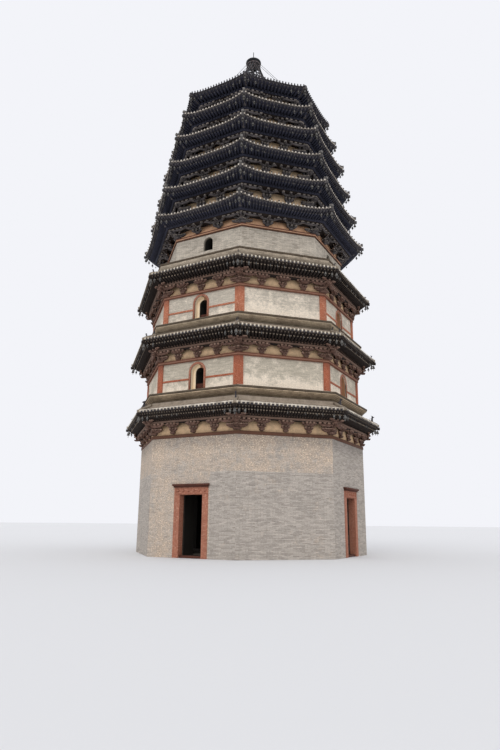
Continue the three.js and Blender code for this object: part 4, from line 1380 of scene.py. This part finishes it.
# %% [markdown]
# ## Doorway trim
# Each doorway has a projecting board over it and a carved frieze on its lintel. The carving is kept
# plain here: a moulded frame and a row of raised lozenges.

# %% Portals
GROUND_WALL = 8.0
portal_low, portal_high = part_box("portal_front")
portal_head = portal_high.z / SCALE
portal_half = portal_high.x / SCALE
portal_face = -portal_low.y / SCALE
wall_face = GROUND_WALL * cos(HALF) + 0.03
frieze_low = portal_head - 0.56
passage_half = portal_half - 0.38


def plank(half, foot, top, back, face, cut=0.012):
    """A board facing out of the front side, with the edges of its face cut off."""
    stations = [(0, back), (0, face - cut), (cut, face)]
    return loft(np.array([[[half * x - inset * x, -depth, (foot + inset) if z < 0 else (top - inset)]
                           for x, z in ((-1, -1), (1, -1), (1, 1), (-1, 1))] for inset, depth in stations]))


def lozenges(count):
    """Stars of four long and four short points, each rising to a smaller flat face."""
    angle = circle(8)
    size = np.where(np.arange(8) % 2 == 0, 1.0, 0.55)
    flat = np.stack([0.17 * size * np.cos(angle), 0 * angle, 0.11 * size * np.sin(angle)], -1)
    one = loft(np.stack([flat + [0, 0.02, 0], flat - [0, 0.02, 0], flat * 0.6 - [0, 0.045, 0]]))
    return placed(one, [[x, -wall_face, frieze_low + 0.2] for x in np.linspace(-0.95, 0.95, count)])


hood = plank(portal_half + 0.08, portal_head - 0.09, portal_head + 0.03, portal_face - 0.2, portal_face + 0.1)
cornice = plank(portal_half + 0.02, portal_head - 0.17, portal_head - 0.09, portal_face - 0.2,
                portal_face + 0.03)
frieze = [plank(portal_half - 0.06, low, low + 0.05, wall_face - 0.02, wall_face + 0.035)
          for low in (frieze_low, portal_head - 0.24)]
threshold = plank(passage_half, 0.0, 0.14, wall_face - 0.4, wall_face - 0.1)
paving = plank(passage_half, 0.0, 0.1, ROOM * cos(HALF), wall_face - 0.4)
carving = combine(frieze + [lozenges(6)])
for name, shape, finish, slot in (("portal_hoods", combine([hood, cornice]), dark_red, "red_timber"),
                                  ("portal_friezes", carving, red_paint, "red_timber"),
                                  ("portal_thresholds", threshold, dark_red, "red_timber"),
                                  ("passage_paving", paving, floor_brick, "floor_brick")):
    make_piece(name, [(turned(shape, EVEN_FACES), finish)])

# %% [markdown]
# ## The finial
# A brick base with two mouldings carries an open iron cage round the mast, and a domed cap closes it.
# The cage's hoops are turned rings, its ribs lean inwards, and thinner braces cross between them.
# Bars are round here, where the CAD part has flat hoops and square ribs.

# %% Finial
ROUND = 32
base_foot, base_top = foot_of("finial_base"), head_of("finial_base")
mouldings = [(1.23, 0.0), (1.25, 0.06), (1.23, 0.15), (1.15, 0.2), (1.11, 0.27), (1.12, 0.35), (1.2, 0.42),
             (1.25, 0.48), (1.24, 0.53)]
base_profile = [(0.02, base_foot)] + [(radius, base_foot + rise) for radius, rise in mouldings]
base_profile += [(1.18, base_top), (0.02, base_top)]
make_piece("finial_base_mouldings", [(revolve(base_profile, ROUND), hip_tile)], ["finial_base"])

cage_foot, cage_top = foot_of("finial_cage"), head_of("finial_cage")
HOOP_THICKNESS = 0.035
RIB_THICKNESS = 0.03


def cage_radius(share):
    """The cage narrows in a gentle S from foot to top."""
    return 1.10 - 0.56 * share + 0.04 * np.sin(2 * pi * share)


def hoop(share, segments=24):
    """A torus: a circle of six points carried round the axis, at a share of the cage's height."""
    angle = circle(segments)[:, None]
    around = circle(6)
    level = cage_foot + HOOP_THICKNESS + (cage_top - cage_foot - 2 * HOOP_THICKNESS) * share
    reach = cage_radius(share) + HOOP_THICKNESS * np.cos(around)
    height = level + HOOP_THICKNESS * np.sin(around) + 0 * angle
    return loft(np.stack([reach * np.cos(angle), reach * np.sin(angle), height], -1), closed=True)


path = np.linspace(0, 1, 9)[:, None]
rib_angle = circle(6)
rib = np.stack([RIB_THICKNESS * np.cos(rib_angle) + 0 * path,
                -(cage_radius(path) + RIB_THICKNESS * np.sin(rib_angle)),
                cage_foot + (cage_top - cage_foot) * path + 0 * rib_angle], -1)
ribs = turned(loft(rib), np.arange(2 * SIDES) * TURN / 2)
braces = [turned(loft(turn(rib[..., 0] * 0.7, rib[..., 1] + 0.02, rib[..., 2], lean)), FACE_TURNS)
          for lean in (TURN * path, -TURN * path)]
hoops = [hoop(share) for share in np.linspace(0, 1, 7)]
make_piece("finial_cage_bars", [(combine(hoops + [ribs]), old_iron), (combine(braces), grey_iron)],
           ["finial_cage"])

cap_foot, cap_top = foot_of("finial_cap"), head_of("finial_cap")
CAP_RADIUS = 0.65
CAP_RISE = 0.18


def from_cap(profile):
    return [(radius, cap_foot + rise) for radius, rise in profile]


dome = [(CAP_RADIUS * cos(a), cap_top - CAP_RISE * (1 - sin(a))) for a in np.linspace(0, pi / 2 - 0.12, 9)]
shoulder = from_cap([(0.44, 0.12), (0.5, 0.16), (CAP_RADIUS - 0.02, 0.22), (CAP_RADIUS, 0.24)])
canopy = revolve(shoulder + dome + [(0.05, cap_top), (0.02, cap_top)], ROUND)
neck = revolve(from_cap([(0.02, 0.0), (0.59, 0.0), (0.61, 0.02), (0.6, 0.05), (0.48, 0.06), (0.45, 0.1),
                         (0.43, 0.14), (0.02, 0.14)]), ROUND)
make_piece("finial_cap_dome", [(canopy, old_iron), (neck, grey_iron)], ["finial_cap"])

rod_foot = foot_of("finial_rod")
beads = [(0.03, 0.0), (0.1, 0.08), (0.12, 0.14), (0.06, 0.22), (0.08, 0.28), (0.035, 0.36)]
pearl = revolve([(radius, rod_foot + rise) for radius, rise in beads], 12)
make_piece("finial_pearl", [(pearl, old_iron)])

# %% [markdown]
# ## Posts for the stays
# Four pairs of iron stays hold the finial. Each pair is made fast to a short post on a hip of the top
# roof. The posts belong to the roof node, which the eave's bed stands for, so they are made again.

# %% Stay posts
POST_RADIUS = 5.35
POST_TOP = 34.70
POST_HEIGHT = 0.42
anchor = placed(block(0.18, POST_HEIGHT, 1.0), [[0, -POST_RADIUS, POST_TOP - POST_HEIGHT]])
make_piece("stay_posts", [(turned(anchor, CORNER_TURNS[::2]), old_iron)])
print("triangles in all", sum(made.values()))

# %% [markdown]
# ## Floor and light
# A pale floor and an even pale sky stand for an overcast day, with one broad soft sun a little left
# of the camera. The Standard view keeps the colours as the finishes give them.

# %% Stage
FLOOR_REACH = 400.0
FLOOR_LEVEL = -0.002
floor_mesh = bpy.data.meshes.new("studio_floor")
floor_mesh.from_pydata([(x * FLOOR_REACH, y * FLOOR_REACH, FLOOR_LEVEL)
                        for x, y in ((-1, -1), (1, -1), (1, 1), (-1, 1))], [], [(0, 1, 2, 3)])
floor = add_object("studio_floor", floor_mesh)
floor_finish, _, floor_shader = start_material("pale_floor", 0.9)
feed(floor_shader, {"Base Color": shade(226, 226, 226)})
floor_mesh.materials.append(floor_finish)

world = bpy.data.worlds.new("overcast")
bpy.context.scene.world = world
world.use_nodes = True
feed(world.node_tree.nodes["Background"], {"Color": shade(243, 244, 249), "Strength": 1.0})

sun_data = bpy.data.lights.new("soft_sun", "SUN")
sun_data.energy = 0.7
sun_data.angle = radians(50)
sun = add_object("soft_sun", sun_data)
sun.rotation_euler = (radians(52), 0, radians(16))
bpy.context.scene.view_settings.view_transform = "Standard"
print("sun strength", sun_data.energy, "and sky strength 1.0")

# %% [markdown]
# ## The camera
# It stands low and close and looks up, so the tower leans back. Its place, tilt and focal length are
# fitted to the eaves and ledges in the photo, in the real tower's metres and the photo's pixels.

# %% Camera
DISTANCE = 41.835
EYE_LEVEL = 2.0
AZIMUTH = radians(28.22)
PITCH = 0.2504
YAW = -0.0014
ROLL = 0.0091
FOCAL_PIXELS = 580.36
FRAME_HEIGHT = 750
camera_data = bpy.data.cameras.new("photographer")
camera_data.sensor_width = 36.0
camera_data.lens = FOCAL_PIXELS / FRAME_HEIGHT * camera_data.sensor_width
camera_data.clip_end = 1000
camera = add_object("photographer", camera_data)
stand = (DISTANCE * SCALE * sin(AZIMUTH), -DISTANCE * SCALE * cos(AZIMUTH), EYE_LEVEL * SCALE)
aim = Matrix.Rotation(AZIMUTH - YAW, 4, "Z") @ Matrix.Rotation(pi / 2 + PITCH, 4, "X")
camera.matrix_world = Matrix.Translation(stand) @ (aim @ Matrix.Rotation(ROLL, 4, "Z"))
bpy.context.scene.camera = camera
print("camera lens", round(camera_data.lens, 1), "mm")

# %% [markdown]
